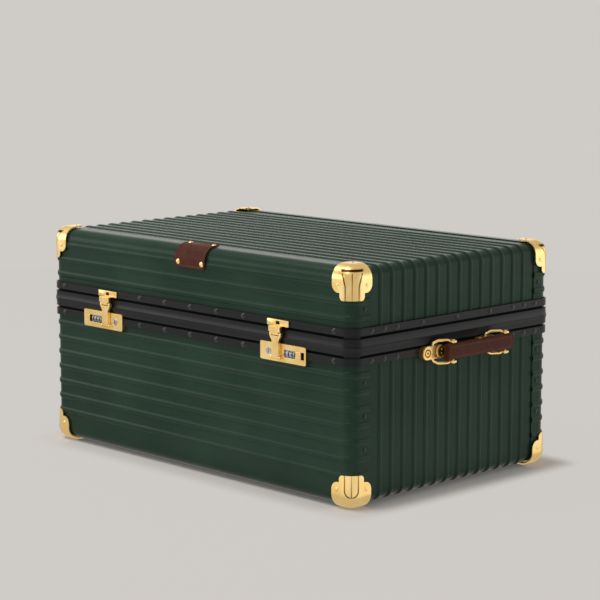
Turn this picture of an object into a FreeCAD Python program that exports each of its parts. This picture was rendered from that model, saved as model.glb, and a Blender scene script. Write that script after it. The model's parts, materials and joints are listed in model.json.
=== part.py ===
import FreeCAD, Part
import math
import os
from types import SimpleNamespace

import Sketcher

# Hard aluminium trunk case: a deep base and a shallower lid of ridged sheet, joined by
# extruded frames, with two lever locks in front, hinges behind and a swing handle on each end.
# +Z is up and the front looks along -Y. The origin is on the floor, under the middle of the case.
# "Out" below means the distance outside the case's outline, which the panel ribs touch.

doc = FreeCAD.newDocument("trunk_case")
Vector = FreeCAD.Vector

# Driving dimensions in millimetres
driving = {
    # Outline of the case, over the ribs of the front and back panels
    "case_length": 546.6,
    "case_depth": 350.6,
    "case_height": 279.0,
    "parting_height": 188.4,
    "corner_radius": 16.0,
    # Ridged sheet
    "sheet_thickness": 1.2,
    "rib_height": 1.6,
    "rib_width": 8.4,
    "rib_pitch": 19.4,
    "base_first_rib": 32.5,
    "lid_first_rib": 32.2,
    "end_rib_margin": 45.0,
    "wrap_length": 30.0,
    "lip_length": 8.0,
    "lap_gap": 0.1,
    "lap_start": 18.3,
    "corner_notch": 20.0,
    "sheet_edge_gap": 1.6,
    # Frames round the opening
    "frame_height": 21.5,
    "flange_height": 8.8,
    "flange_thickness": 1.5,
    "flange_gap": 0.1,
    "groove_height": 3.2,
    "groove_sink": 0.5,
    "groove_skin": 0.65,
    "bulge_reach": 3.0,
    "bulge_radius": 24.0,
    "bulge_setback": 1.2,
    "frame_wall": 1.4,
    "channel_depth": 4.4,
    "parting_chamfer": 0.3,
    "tongue_width": 1.6,
    "tongue_height": 3.0,
    "tongue_inset": 1.7,
    "tongue_clearance": 0.9,
    "seal_thickness": 1.1,
    "seal_clearance": 0.4,
    # Lining
    "lining_thickness": 2.5,
    "lining_gap": 0.3,
    # Corner caps
    "cap_thickness": 1.5,
    "cap_gap": 0.2,
    "cap_ear": 32.2,
    "cap_ear_radius": 9.5,
    "cap_lobe_width": 20.2,
    "cap_lobe_length": 40.8,
    "cap_lobe_radius": 5.0,
    "cap_recess_width": 16.0,
    "cap_recess_depth": 0.8,
    "cap_recess_start": 15.0,
    "lid_recess_width": 21.0,
    "lid_recess_start": 14.0,
    "lid_recess_run": 11.0,
    "cap_rivet_place": 23.6,
    # Rivets
    "frame_rivet_radius": 3.5,
    "frame_rivet_dome": 1.7,
    "seam_rivet_radius": 3.1,
    "seam_rivet_dome": 1.5,
    "cap_rivet_radius": 2.5,
    "cap_rivet_dome": 1.1,
    "rivet_shank_radius": 1.2,
    "front_rivet_pitch": 47.5,
    "front_rivet_end": 27.3,
    "end_rivet_corner": 30.3,
    "end_rivet_pitch": 21.3,
    "end_rivet_middle": 60.0,
    "seam_rivet_place": 22.0,
    # Leather badge tab
    "badge_width": 55.0,
    "badge_thickness": 1.8,
    "badge_drop": 27.6,
    "badge_reach": 25.0,
    "badge_gap": 0.15,
    "badge_rivet_radius": 3.3,
    "badge_rivet_dome": 1.4,
    "badge_rivet_spacing": 42.6,
    "badge_rivet_rise": 6.4,
    "badge_rivet_inset": 5.5,
    # Fittings stand this far off what they are fixed to
    "seat_gap": 0.15,
    "running_gap": 0.3,
    "pivot_clearance": 0.06,
    # Hinges
    "hinge_place": 160.0,
    "hinge_width": 60.0,
    "hinge_axis_out": 5.2,
    "hinge_barrel_radius": 3.2,
    "hinge_pin_radius": 1.3,
    "hinge_leaf_thickness": 1.2,
    "hinge_knuckle_gap": 0.4,
    "hinge_notch_out": 1.65,
    # Locks
    "lock_inset": 108.1,
    "lock_width": 76.0,
    "lock_height": 21.5,
    "lock_drop": 18.0,
    "lock_plate_thickness": 2.25,
    "lock_corner_radius": 2.2,
    "lock_housing_width": 73.6,
    "lock_housing_height": 17.0,
    "lock_housing_wall": 1.2,
    "lock_housing_back": 5.9,
    "key_place": -24.0,
    "key_radius": 4.6,
    "key_stand": 0.5,
    "key_length": 6.5,
    "key_slot_length": 6.0,
    "key_slot_width": 1.3,
    "key_slot_depth": 2.5,
    "key_clearance": 0.1,
    "dial_place": 11.1,
    "dial_pitch": 6.0,
    "dial_width": 5.6,
    "dial_radius": 5.7,
    "dial_axis_out": 0.0,
    "dial_axle_radius": 1.0,
    "dial_window_width": 18.2,
    "dial_post_thickness": 1.2,
    "dial_notch_radius": 0.5,
    "slot_place": 28.2,
    "slot_length": 14.0,
    "slot_height": 8.8,
    "button_length": 8.6,
    "button_stand": 0.4,
    "button_depth": 3.0,
    "button_clearance": 0.2,
    "lever_place": -9.0,
    "lever_width": 12.4,
    "lever_thickness": 3.8,
    "lever_pivot_rise": 5.25,
    "lever_waist_height": 19.5,
    "lever_waist_width": 11.0,
    "lever_shoulder_height": 25.2,
    "lever_shoulder_width": 18.8,
    "lever_pin_radius": 1.0,
    "lug_width": 1.6,
    "hook_pivot_height": 27.5,
    "hook_pin_radius": 0.9,
    "hook_knuckle_width": 12.0,
    "hook_top": 9.0,
    "hook_front_out": 9.6,
    "hook_thickness": 3.2,
    "hook_claw_height": 2.0,
    "hook_claw_width": 14.0,
    "keeper_width": 36.0,
    "keeper_height": 7.6,
    "keeper_thickness": 1.85,
    "keeper_rise": 12.7,
    "keeper_hole_width": 6.0,
    "keeper_hole_height": 4.0,
    # Swing handles
    "handle_drop": 18.8,
    "handle_pivot_spacing": 94.0,
    "handle_pivot_out": 6.0,
    "handle_plate_length": 39.2,
    "handle_plate_height": 15.6,
    "handle_plate_thickness": 6.8,
    "handle_fixing_offset": 11.8,
    "handle_ring_radius": 7.2,
    "handle_ring_bore": 5.4,
    "handle_ring_height": 0.9,
    "handle_screw_radius": 4.9,
    "handle_screw_shank": 1.8,
    "link_bar_radius": 1.75,
    "link_rail_height": 10.2,
    "link_bow_height": 13.4,
    "link_bow_rise": 6.5,
    "link_bow_fall": 7.0,
    "link_bend_radius": 3.0,
    "link_eye_height": 11.9,
    "link_eye_lap": 3.7,
    "link_eye_radius": 4.4,
    "link_eye_thickness": 2.2,
    "link_swing_along": 21.65,
    "link_swing_out": 12.5,
    "grip_length": 118.0,
    "grip_height": 20.0,
    "grip_thickness": 9.6,
    "grip_corner_radius": 3.5,
    "grip_pin_radius": 1.5,
    "grip_pin_nub": 2.4,
    "grip_pin_nub_height": 0.8,
    "open_pivot_clearance": 0.4,
}

sheet = doc.addObject("Spreadsheet::Sheet", "sizes")
for row, (name, number) in enumerate(driving.items(), start=1):
    sheet.set(f"A{row}", name)
    sheet.set(f"B{row}", str(number))
    sheet.setAlias(f"B{row}", name)
doc.recompute()


class Size:
    """A number together with the sheet formula that gives it."""

    def __init__(self, value, formula):
        self.value = float(value)
        self.formula = formula

    def __add__(self, other):
        other = size_of(other)
        return Size(self.value + other.value, f"({self.formula} + {other.formula})")

    def __sub__(self, other):
        other = size_of(other)
        return Size(self.value - other.value, f"({self.formula} - {other.formula})")

    def __mul__(self, other):
        other = size_of(other)
        return Size(self.value * other.value, f"({self.formula} * {other.formula})")

    def __truediv__(self, other):
        other = size_of(other)
        return Size(self.value / other.value, f"({self.formula} / {other.formula})")

    def __radd__(self, other):
        return size_of(other) + self

    def __rsub__(self, other):
        return size_of(other) - self

    def __rmul__(self, other):
        return size_of(other) * self

    def __neg__(self):
        return size_of(0) - self

    def __float__(self):
        return self.value


def size_of(amount):
    return amount if isinstance(amount, Size) else Size(amount, repr(amount))


s = SimpleNamespace(**{name: Size(sheet.get(name), f"sizes.{name}") for name in driving})
nodes = []


# Helpers for objects whose sizes follow the sheet
def bind(obj, prop, amount):
    if isinstance(amount, Size):
        obj.setExpression(prop, amount.formula)
    else:
        setattr(obj, prop, amount)


def place(obj, x, y, z, rotation=FreeCAD.Rotation()):
    obj.Placement = FreeCAD.Placement(Vector(float(x), float(y), float(z)), rotation)
    for axis, amount in zip("xyz", (x, y, z)):
        if isinstance(amount, Size):
            obj.setExpression(f"Placement.Base.{axis}", amount.formula)


def span(side, low, high):
    """The two ends of a stretch in rising order, mirrored to the left side where side is -1."""
    return (low, high) if side > 0 else (-high, -low)


def box(name, x, y, z):
    obj = doc.addObject("Part::Box", name)
    for prop, (low, high) in zip(("Length", "Width", "Height"), (x, y, z)):
        bind(obj, prop, size_of(high) - size_of(low))
    place(obj, x[0], y[0], z[0])
    return obj


turns = {
    "x": FreeCAD.Rotation(Vector(0, 1, 0), 90),
    "y": FreeCAD.Rotation(Vector(1, 0, 0), -90),
    "z": FreeCAD.Rotation(),
}


def rod(name, axis, start, radius, length):
    obj = doc.addObject("Part::Cylinder", name)
    bind(obj, "Radius", radius)
    bind(obj, "Height", length)
    place(obj, *start, turns[axis])
    return obj


def fuse(name, *pieces):
    obj = doc.addObject("Part::MultiFuse", name)
    obj.Shapes = list(pieces)
    obj.Refine = True
    return obj


def cut(name, base, *tools):
    obj = doc.addObject("Part::Cut", name)
    obj.Base = base
    obj.Tool = tools[0] if len(tools) == 1 else fuse(name + "_tools", *tools)
    obj.Refine = True
    return obj


def group(name, *pieces):
    obj = doc.addObject("Part::Compound", name)
    obj.Links = list(pieces)
    return obj


def feature(name, shape, placement=None):
    obj = doc.addObject("Part::Feature", name)
    obj.Shape = shape
    if placement is not None:
        obj.Placement = placement
    return obj


def node(obj, label):
    obj.Label = label
    nodes.append(obj)
    return obj


def sketch(body, plane, offset=0):
    obj = body.newObject("Sketcher::SketchObject", body.Name + "_sketch")
    support = next(item for item in body.Origin.OriginFeatures if item.Role == plane)
    obj.AttachmentSupport = [(support, "")]
    obj.MapMode = "FlatFace"
    if isinstance(offset, Size):
        obj.setExpression("AttachmentOffset.Base.z", offset.formula)
    return obj


def pin_point(obj, geometry, end, u, v):
    for kind, amount in (("DistanceX", u), ("DistanceY", v)):
        amount = size_of(amount)
        index = obj.addConstraint(Sketcher.Constraint(kind, -1, 1, geometry, end, amount.value))
        obj.setExpression(f"Constraints[{index}]", amount.formula)


def outline(obj, corners, closed=True):
    """Lines through the corners. A third value makes the run to the next corner an arc of that
    radius, with its centre on the left of the way along it, or on the right where it is negative."""
    points = [Vector(float(corner[0]), float(corner[1]), 0) for corner in corners]
    runs = len(corners) if closed else len(corners) - 1
    ends = []
    for index in range(runs):
        first = points[index]
        last = points[(index + 1) % len(points)]
        if len(corners[index]) == 2:
            number = obj.addGeometry(Part.LineSegment(first, last), False)
            ends.append((number, 1, 2))
            continue
        radius = corners[index][2]
        reach = abs(float(radius))
        way = last - first
        across = Vector(-way.y, way.x, 0).normalize()
        rise = math.sqrt(reach ** 2 - (way.Length / 2) ** 2)
        left = float(radius) > 0
        centre = first + way / 2 + across * (rise if left else -rise)
        angles = [math.atan2(point.y - centre.y, point.x - centre.x) for point in (first, last)]
        if not left:
            angles.reverse()
        circle = Part.Circle(centre, Vector(0, 0, 1), reach)
        number = obj.addGeometry(Part.ArcOfCircle(circle, angles[0], angles[1]), False)
        ends.append((number, 1, 2) if left else (number, 2, 1))
        index_radius = obj.addConstraint(Sketcher.Constraint("Radius", number, reach))
        amount = size_of(radius) if left else -size_of(radius)
        obj.setExpression(f"Constraints[{index_radius}]", amount.formula)
    for index in range(runs):
        number, start, stop = ends[index]
        pin_point(obj, number, start, *corners[index][:2])
        if closed or index + 1 < runs:
            following = ends[(index + 1) % len(ends)]
            obj.addConstraint(Sketcher.Constraint("Coincident", number, stop, following[0], following[1]))
        else:
            pin_point(obj, number, stop, *corners[index + 1][:2])
    return obj


def rectangle(obj, u, v):
    return outline(obj, [(u[0], v[0]), (u[1], v[0]), (u[1], v[1]), (u[0], v[1])])


def disc(obj, u, v, radius):
    circle = Part.Circle(Vector(float(u), float(v), 0), Vector(0, 0, 1), float(radius))
    number = obj.addGeometry(circle, False)
    pin_point(obj, number, 3, u, v)
    index = obj.addConstraint(Sketcher.Constraint("Radius", number, float(radius)))
    obj.setExpression(f"Constraints[{index}]", size_of(radius).formula)
    return obj


def pad(body, profile, length, backwards=False):
    obj = body.newObject("PartDesign::Pad", body.Name + "_pad")
    obj.Profile = profile
    bind(obj, "Length", length)
    obj.Reversed = backwards
    return obj


def pocket(body, profile, length, backwards=False):
    obj = body.newObject("PartDesign::Pocket", body.Name + "_pocket")
    obj.Profile = profile
    bind(obj, "Length", length)
    obj.Reversed = backwards
    return obj


def round_edges(body, radius, wanted):
    doc.recompute()
    base = body.Tip
    edges = base.Shape.Edges
    names = [f"Edge{index}" for index, edge in enumerate(edges, start=1) if wanted(edge)]
    obj = body.newObject("PartDesign::Fillet", body.Name + "_fillet")
    obj.Base = (base, names)
    bind(obj, "Radius", radius)
    return obj


def runs_along(edge, axis):
    way = edge.Vertexes[-1].Point - edge.Vertexes[0].Point
    return len(edge.Vertexes) == 2 and way.Length > 0 and abs(way.normalize().dot(axis)) > 0.999


def lies_level(edge, height):
    return all(abs(vertex.Z - height) < 1e-6 for vertex in edge.Vertexes)


def new_body(label):
    return node(doc.addObject("PartDesign::Body", label), label)


# Places that many pieces share
half_length = s.case_length / 2
half_depth = s.case_depth / 2
floor_height = s.cap_gap + s.cap_thickness
top_height = floor_height + s.case_height
panel_level = s.rib_height
sheet_level = s.rib_height + s.sheet_thickness + s.lap_gap
sheet_back = sheet_level + s.sheet_thickness
flange_out = s.flange_gap + s.flange_thickness
seat_out = flange_out + s.seat_gap
inner_wall_back = s.channel_depth + s.frame_wall
bulge_height = s.frame_height - s.flange_height - s.groove_height
flange_middle = s.frame_height - s.flange_height / 2


# Ridged sheets
def ribbed_section(start, stop, ribs, level, to_space):
    """Closed wire of a ridged strip: flats at a level and round beads standing out of them."""
    thick = float(s.sheet_thickness)
    rise = float(s.rib_height)
    half = float(s.rib_width) / 2
    bend = (half ** 2 + rise ** 2) / (2 * rise)
    inner_half = math.sqrt((bend - thick) ** 2 - (bend - rise - thick) ** 2)

    def side(base, crown, reach):
        edges = []
        here = to_space(start, base)
        for rib in ribs:
            foot = to_space(rib - reach, base)
            edges.append(Part.LineSegment(here, foot).toShape())
            here = to_space(rib + reach, base)
            edges.append(Part.Arc(foot, to_space(rib, crown), here).toShape())
        edges.append(Part.LineSegment(here, to_space(stop, base)).toShape())
        return edges

    outer = side(level, level + rise, half)
    inner = side(level - thick, level + rise - thick, inner_half)
    ends = [
        Part.LineSegment(to_space(place_along, level), to_space(place_along, level - thick)).toShape()
        for place_along in (start, stop)
    ]
    return Part.Wire(Part.__sortEdges__(outer + inner + ends))


def rounded_path(points, radius):
    """Straight runs through the points, with each inner point turned into an arc."""
    edges = []
    here = points[0]
    for before, point, after in zip(points, points[1:], points[2:]):
        inwards = (before - point).normalize()
        outwards = (after - point).normalize()
        first = point + inwards * radius
        last = point + outwards * radius
        middle = point + (inwards + outwards) * radius * (1 - math.sqrt(0.5))
        edges.append(Part.LineSegment(here, first).toShape())
        edges.append(Part.Arc(first, middle, last).toShape())
        here = last
    edges.append(Part.LineSegment(here, points[-1]).toShape())
    return Part.Wire(edges)


def end_rib_places():
    room = float(s.case_depth) - 2 * float(s.end_rib_margin)
    gaps = max(1, int(room // float(s.rib_pitch)))
    return [(index - gaps / 2) * float(s.rib_pitch) for index in range(gaps + 1)]


def u_sheet(label, rim, outer, up):
    """Ridged sheet over one broad face and both ends, from rim to rim."""
    level = float(sheet_level)
    side = float(half_length) - level
    half_width = float(half_depth) - float(s.lap_start)

    def to_space(along, out):
        return Vector(-(float(half_length) + out), along, rim)

    section = ribbed_section(-half_width, half_width, end_rib_places(), -level, to_space)
    face_height = outer - up * level
    corners = [
        Vector(-side, 0, rim),
        Vector(-side, 0, face_height),
        Vector(side, 0, face_height),
        Vector(side, 0, rim),
    ]
    path = rounded_path(corners, float(s.corner_radius) - level)
    return node(feature(label, path.makePipeShell([section], True, False)), label)


def panel_ribs(outer, up, first_rib):
    parting = float(s.parting_height)
    room = abs(outer - parting) - first_rib - float(s.corner_radius)
    count = 1 + int((room - float(s.rib_width) / 2) // float(s.rib_pitch))
    return sorted(parting + up * (first_rib + k * float(s.rib_pitch)) for k in range(count))


def wrapped_panel(name, rim, outer, up, first_rib, facing):
    """Ridged front or back panel that turns both upright corners and lies over the ends, with
    a plain rounded lip along its outer edge. facing is -1 for the front and 1 for the back."""
    level = float(panel_level)
    radius = float(s.corner_radius)
    side = float(half_length) - level
    face = facing * (float(half_depth) - level)
    stop = facing * (float(half_depth) - float(s.wrap_length))
    edge = outer - up * radius

    def to_space(along, out):
        return Vector(-(float(half_length) + out), stop, along)

    low, high = sorted((rim, edge))
    section = ribbed_section(low, high, panel_ribs(outer, up, first_rib), -level, to_space)
    middle = (rim + edge) / 2
    corners = [
        Vector(-side, stop, middle),
        Vector(-side, face, middle),
        Vector(side, face, middle),
        Vector(side, stop, middle),
    ]
    path = rounded_path(corners, radius - level)
    strip = path.makePipeShell([section], True, False)

    start = -(float(half_length) - float(s.corner_notch))
    lip_stop = facing * (float(half_depth) - radius - float(s.lip_length))
    centre = Vector(start, facing * (float(half_depth) - radius), edge)

    def around(reach, angle):
        turn = math.radians(angle)
        return centre + Vector(0, facing * reach * math.cos(turn), up * reach * math.sin(turn))

    def lip_side(reach):
        bend = Part.Arc(around(reach, 0), around(reach, 45), around(reach, 90)).toShape()
        flat = Part.LineSegment(around(reach, 90), Vector(start, lip_stop, edge + up * reach)).toShape()
        return [bend, flat]

    outside = radius - level
    inside = outside - float(s.sheet_thickness)
    ends = [
        Part.LineSegment(around(outside, 0), around(inside, 0)).toShape(),
        Part.LineSegment(
            Vector(start, lip_stop, edge + up * outside), Vector(start, lip_stop, edge + up * inside)
        ).toShape(),
    ]
    lip_wire = Part.Wire(Part.__sortEdges__(lip_side(outside) + lip_side(inside) + ends))
    lip = Part.Face(lip_wire).extrude(Vector(-2 * start, 0, 0))
    return feature(name, strip.fuse(lip).removeSplitter())


groove_depth = s.tongue_height + s.seal_clearance + s.seal_thickness
base_rim = float(s.parting_height - s.frame_wall - s.sheet_edge_gap)
lid_rim = float(s.parting_height + groove_depth + s.frame_wall + s.sheet_edge_gap)
base_edge = float(floor_height)
lid_edge = float(top_height)

u_sheet("base_bottom_sheet", base_rim, base_edge, -1)
u_sheet("lid_top_sheet", lid_rim, lid_edge, 1)
base_front_plain = wrapped_panel("base_front_plain", base_rim, base_edge, -1, float(s.base_first_rib), -1)
node(wrapped_panel("base_back", base_rim, base_edge, -1, float(s.base_first_rib), 1), "base_back_panel")
node(wrapped_panel("lid_front", lid_rim, lid_edge, 1, float(s.lid_first_rib), -1), "lid_front_panel")
node(wrapped_panel("lid_back", lid_rim, lid_edge, 1, float(s.lid_first_rib), 1), "lid_back_panel")


# Extruded frames, with a tongue on the base and a groove with a rubber seal in the lid
def rounded_loop(obj, x, y, radius):
    """Rounded rectangle that starts in the middle of its front run."""
    corners = [
        (0, -y),
        (x - radius, -y, radius),
        (x, -y + radius),
        (x, y - radius, radius),
        (x - radius, y),
        (-(x - radius), y, radius),
        (-x, y - radius),
        (-x, -y + radius, radius),
        (-(x - radius), -y),
    ]
    return outline(obj, corners)


def swept_ring(body, profile_corners):
    path = sketch(body, "XY_Plane", s.parting_height)
    rounded_loop(path, half_length, half_depth, s.corner_radius)
    profile = sketch(body, "YZ_Plane")
    outline(profile, profile_corners)
    pipe = body.newObject("PartDesign::AdditivePipe", body.Name + "_pipe")
    pipe.Profile = profile
    pipe.Spine = (path, [])
    return pipe


def frame_point(up, out, away, *radius):
    return (-(half_depth + out), s.parting_height + up * away, *radius)


def frame_corners(up, rim):
    """Section of a frame: flange, groove, bulge, rim and inner wall, going round it."""
    groove_start = s.frame_height - s.flange_height
    groove_back = -s.groove_sink - s.groove_skin
    bulge_side = s.bulge_reach - s.bulge_setback
    wall = s.frame_wall
    arc = -up * s.bulge_radius
    inner_arc = up * (s.bulge_radius - wall)
    points = [
        (s.flange_gap, s.frame_height),
        (flange_out, s.frame_height),
        (flange_out, groove_start),
        (-s.groove_sink, groove_start),
        (-s.groove_sink, bulge_height),
        (bulge_side, bulge_height, arc),
        (s.bulge_reach - s.parting_chamfer, s.parting_chamfer),
        (s.bulge_reach - 2 * s.parting_chamfer, 0),
        *rim,
        (-inner_wall_back, 0),
        (-inner_wall_back, s.frame_height),
        (-s.channel_depth, s.frame_height),
    ]
    back = [
        (-s.channel_depth, wall),
        (s.bulge_reach - wall - s.parting_chamfer, wall, inner_arc),
        (bulge_side - wall, bulge_height - wall),
        (groove_back, bulge_height - wall),
        (groove_back, groove_start + s.groove_skin),
        (s.flange_gap, groove_start + s.groove_skin),
    ]
    return points, back


tongue_edges = (-s.tongue_inset + s.tongue_width / 2, -s.tongue_inset - s.tongue_width / 2)
groove_edges = (tongue_edges[0] + s.tongue_clearance, tongue_edges[1] - s.tongue_clearance)
trough_edges = (groove_edges[0] + s.frame_wall / 2, groove_edges[1] - s.frame_wall / 2)

tongue = [(tongue_edges[0], 0), (tongue_edges[0], -s.tongue_height),
          (tongue_edges[1], -s.tongue_height), (tongue_edges[1], 0)]
groove = [(groove_edges[0], 0), (groove_edges[0], groove_depth),
          (groove_edges[1], groove_depth), (groove_edges[1], 0)]
trough = [(trough_edges[1], s.frame_wall), (trough_edges[1], groove_depth + s.frame_wall),
          (trough_edges[0], groove_depth + s.frame_wall), (trough_edges[0], s.frame_wall)]

base_frame_body = doc.addObject("PartDesign::Body", "base_frame_ring")
outer_run, inner_run = frame_corners(-1, tongue)
swept_ring(base_frame_body, [frame_point(-1, *corner) for corner in outer_run + inner_run])

lid_frame_body = doc.addObject("PartDesign::Body", "lid_frame_ring")
outer_run, inner_run = frame_corners(1, groove)
lid_run = outer_run + inner_run[:1] + trough + inner_run[1:]
swept_ring(lid_frame_body, [frame_point(1, *corner) for corner in lid_run])

seal_body = new_body("lid_seal")
seal_edges = (groove_edges[0] - s.pivot_clearance, groove_edges[1] + s.pivot_clearance)
seal_run = [(seal_edges[0], groove_depth), (seal_edges[0], groove_depth - s.seal_thickness),
            (seal_edges[1], groove_depth - s.seal_thickness), (seal_edges[1], groove_depth)]
swept_ring(seal_body, [frame_point(1, *corner) for corner in seal_run])


# Linings: stiff fabric trays inside both halves
def rounded_block(name, inset, floor, depth, up):
    """Block with rounded upright edges and rounded edges round its floor."""
    body = doc.addObject("PartDesign::Body", name)
    base = sketch(body, "XY_Plane", floor)
    radius = s.corner_radius - inset
    rounded_loop(base, half_length - inset, half_depth - inset, radius)
    pad(body, base, depth, backwards=up < 0)
    round_edges(body, 0.9 * radius, lambda edge: lies_level(edge, float(floor)))
    return body


def lining(label, floor, rim, up):
    inset = inner_wall_back + s.lining_gap
    thick = s.lining_thickness
    depth = rim - floor if up > 0 else floor - rim
    outer = rounded_block(label + "_outside", inset, floor, depth, up)
    inner = rounded_block(label + "_inside", inset + thick, floor + up * thick, depth, up)
    node(cut(label, outer, inner), label)


lining("base_lining", floor_height + sheet_back + 2 * s.lining_gap, s.parting_height - s.running_gap, 1)
lining("lid_lining", top_height - sheet_back - 2 * s.lining_gap, s.parting_height + s.running_gap, -1)


# Corner caps: pressed brass shells with three ears and a lobe down the upright edge
def ear_outline(lobe):
    """Outline of a cap on one face, as seen square to it: the ear, and the lobe where it has one."""
    ear = float(s.cap_ear)
    ear_radius = float(s.cap_ear_radius)
    turn = 1 - math.sqrt(0.5)
    bent = ear - ear_radius * turn
    points = [(ear, ear - ear_radius), (bent, bent), (ear - ear_radius, ear)]
    edges = [((0, 0), (ear, 0)), ((ear, 0), points[0]), tuple(points)]
    if lobe:
        width = float(s.cap_lobe_width)
        length = float(s.cap_lobe_length)
        radius = float(s.cap_lobe_radius)
        bend = (width, length - radius)
        edges += [
            (points[2], (width, ear)),
            ((width, ear), bend),
            (bend, (width - radius * turn, length - radius * turn), (width - radius, length)),
            ((width - radius, length), (0, length)),
            ((0, length), (0, 0)),
        ]
    else:
        edges += [(points[2], (0, ear)), ((0, ear), (0, 0))]
    return edges


def prism(edges, to_space, way):
    shapes = []
    for points in edges:
        corners = [to_space(*point) for point in points]
        curve = Part.Arc(*corners) if len(corners) == 3 else Part.LineSegment(*corners)
        shapes.append(curve.toShape())
    return Part.Face(Part.Wire(shapes)).extrude(way)


def corner_block(inset, radius, reach):
    """Block whose three edges at the corner are rounded, with its faces an inset behind the cap's."""
    block = Part.makeBox(reach, reach, reach, Vector(inset, inset, inset))
    corner = Vector(inset, inset, inset)
    edges = [edge for edge in block.Edges if any(v.Point.isEqual(corner, 1e-6) for v in edge.Vertexes)]
    return block.makeFillet(radius, edges)


def cap_shape(flared):
    """Cap for the corner at the origin, over the faces x = 0, y = 0 and z = 0. The sunk channel in
    its upright edge has a round end, or a straight one that it widens to where it is flared."""
    thick = float(s.cap_thickness)
    reach = 2 * float(s.cap_lobe_length)
    radius = float(s.corner_radius) + float(s.cap_gap) + thick
    shell = corner_block(0, radius, reach).cut(corner_block(thick, radius - thick, reach))
    shell = shell.common(prism(ear_outline(True), lambda u, v: Vector(u, 0, v), Vector(0, reach, 0)))
    shell = shell.common(prism(ear_outline(True), lambda u, v: Vector(0, u, v), Vector(reach, 0, 0)))
    shell = shell.common(prism(ear_outline(False), lambda u, v: Vector(u, v, 0), Vector(0, 0, reach)))
    half = float(s.cap_recess_width) / 2
    if flared:
        start = float(s.lid_recess_start)
        wide = float(s.lid_recess_width) / 2
        narrow = start + float(s.lid_recess_run)
        turns = [(-half, narrow), (-wide, start), (wide, start), (half, narrow)]
        end = list(zip(turns, turns[1:]))
    else:
        start = float(s.cap_recess_start)
        narrow = start + half
        end = [((-half, narrow), (0, start), (half, narrow))]
    turns = [(half, narrow), (half, reach), (-half, reach), (-half, narrow)]
    sides = list(zip(turns, turns[1:]))

    def across(u, v):
        return Vector(u * math.sqrt(0.5), -u * math.sqrt(0.5), v)

    channel = prism(end + sides, across, Vector(radius, radius, 0))
    core = Part.makeCylinder(radius - float(s.cap_recess_depth), reach, Vector(radius, radius, 0))
    return shell.cut(channel.cut(core)).removeSplitter()


cap_shapes = {"base": cap_shape(False), "lid": cap_shape(True)}
cap_x = float(half_length + floor_height)
cap_y = float(half_depth + floor_height)
cap_top = float(top_height + floor_height)
upright = Vector(0, 0, 1)
upside_down = FreeCAD.Rotation(Vector(1, 1, 0), 180)
corners = {
    "front_left": (-cap_x, -cap_y, 0),
    "front_right": (cap_x, -cap_y, 90),
    "back_right": (cap_x, cap_y, 180),
    "back_left": (-cap_x, cap_y, 270),
}
cap_places = {"base": [], "lid": []}
for corner, (x, y, turn) in corners.items():
    spin = FreeCAD.Rotation(upright, turn)
    cap_places["base"].append(FreeCAD.Placement(Vector(x, y, 0), spin))
    cap_places["lid"].append(FreeCAD.Placement(Vector(x, y, cap_top), spin.multiply(upside_down)))
    for half in ("base", "lid"):
        name = f"{half}_corner_cap_{corner}"
        node(feature(name, cap_shapes[half], cap_places[half][-1]), name)


# Rivets: domed heads on shanks, each kind a group of separate solids
def rivet_shape(radius, dome, shank):
    """Rivet with its head on the plane z = 0 and its shank going down."""
    bend = (radius ** 2 + dome ** 2) / (2 * dome)
    ball = Part.makeSphere(bend, Vector(0, 0, dome - bend))
    head = ball.common(Part.makeCylinder(radius, dome, Vector(0, 0, 0)))
    stem = Part.makeCylinder(float(s.rivet_shank_radius), shank + dome / 2, Vector(0, 0, -shank))
    return head.fuse(stem).removeSplitter()


faces = {
    "front": FreeCAD.Rotation(Vector(1, 0, 0), 90),
    "back": FreeCAD.Rotation(Vector(1, 0, 0), -90),
    "right": FreeCAD.Rotation(Vector(0, 1, 0), 90),
    "left": FreeCAD.Rotation(Vector(0, 1, 0), -90),
    "top": FreeCAD.Rotation(),
}


def on_face(face, along, height, out):
    """Placement on an upright face of the case, this far out of its outline."""
    x = float(half_length) + out
    y = float(half_depth) + out
    points = {
        "front": Vector(along, -y, height),
        "back": Vector(along, y, height),
        "right": Vector(x, along, height),
        "left": Vector(-x, along, height),
    }
    return FreeCAD.Placement(points[face], faces[face])


def rivet_group(label, shape, placements):
    copies = [shape.transformed(placement.Matrix) for placement in placements]
    return node(feature(label, Part.makeCompound(copies)), label)


def frame_rivet_places(height, middle_of_ends):
    front_end = float(half_length) - float(s.front_rivet_end)
    pitch = float(s.front_rivet_pitch)
    along_front = [-front_end, -2 * pitch, -pitch, 0, pitch, 2 * pitch, front_end]
    corner = float(half_depth) - float(s.end_rivet_corner)
    near = [corner - k * float(s.end_rivet_pitch) for k in range(3)]
    along_end = [-place_along for place_along in near] + near
    if middle_of_ends:
        along_end += [-float(s.end_rivet_middle), 0, float(s.end_rivet_middle)]
    out = float(flange_out)
    places = [on_face(face, x, height, out) for face in ("front", "back") for x in along_front]
    return places + [on_face(face, y, height, out) for face in ("left", "right") for y in along_end]


frame_rivet_shank = flange_out + panel_level + s.sheet_thickness
frame_rivet = rivet_shape(
    float(s.frame_rivet_radius), float(s.frame_rivet_dome), float(frame_rivet_shank)
)
rivet_group("base_frame_rivets", frame_rivet,
            frame_rivet_places(float(s.parting_height - flange_middle), False))
rivet_group("lid_frame_rivets", frame_rivet,
            frame_rivet_places(float(s.parting_height + flange_middle), True))


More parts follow.
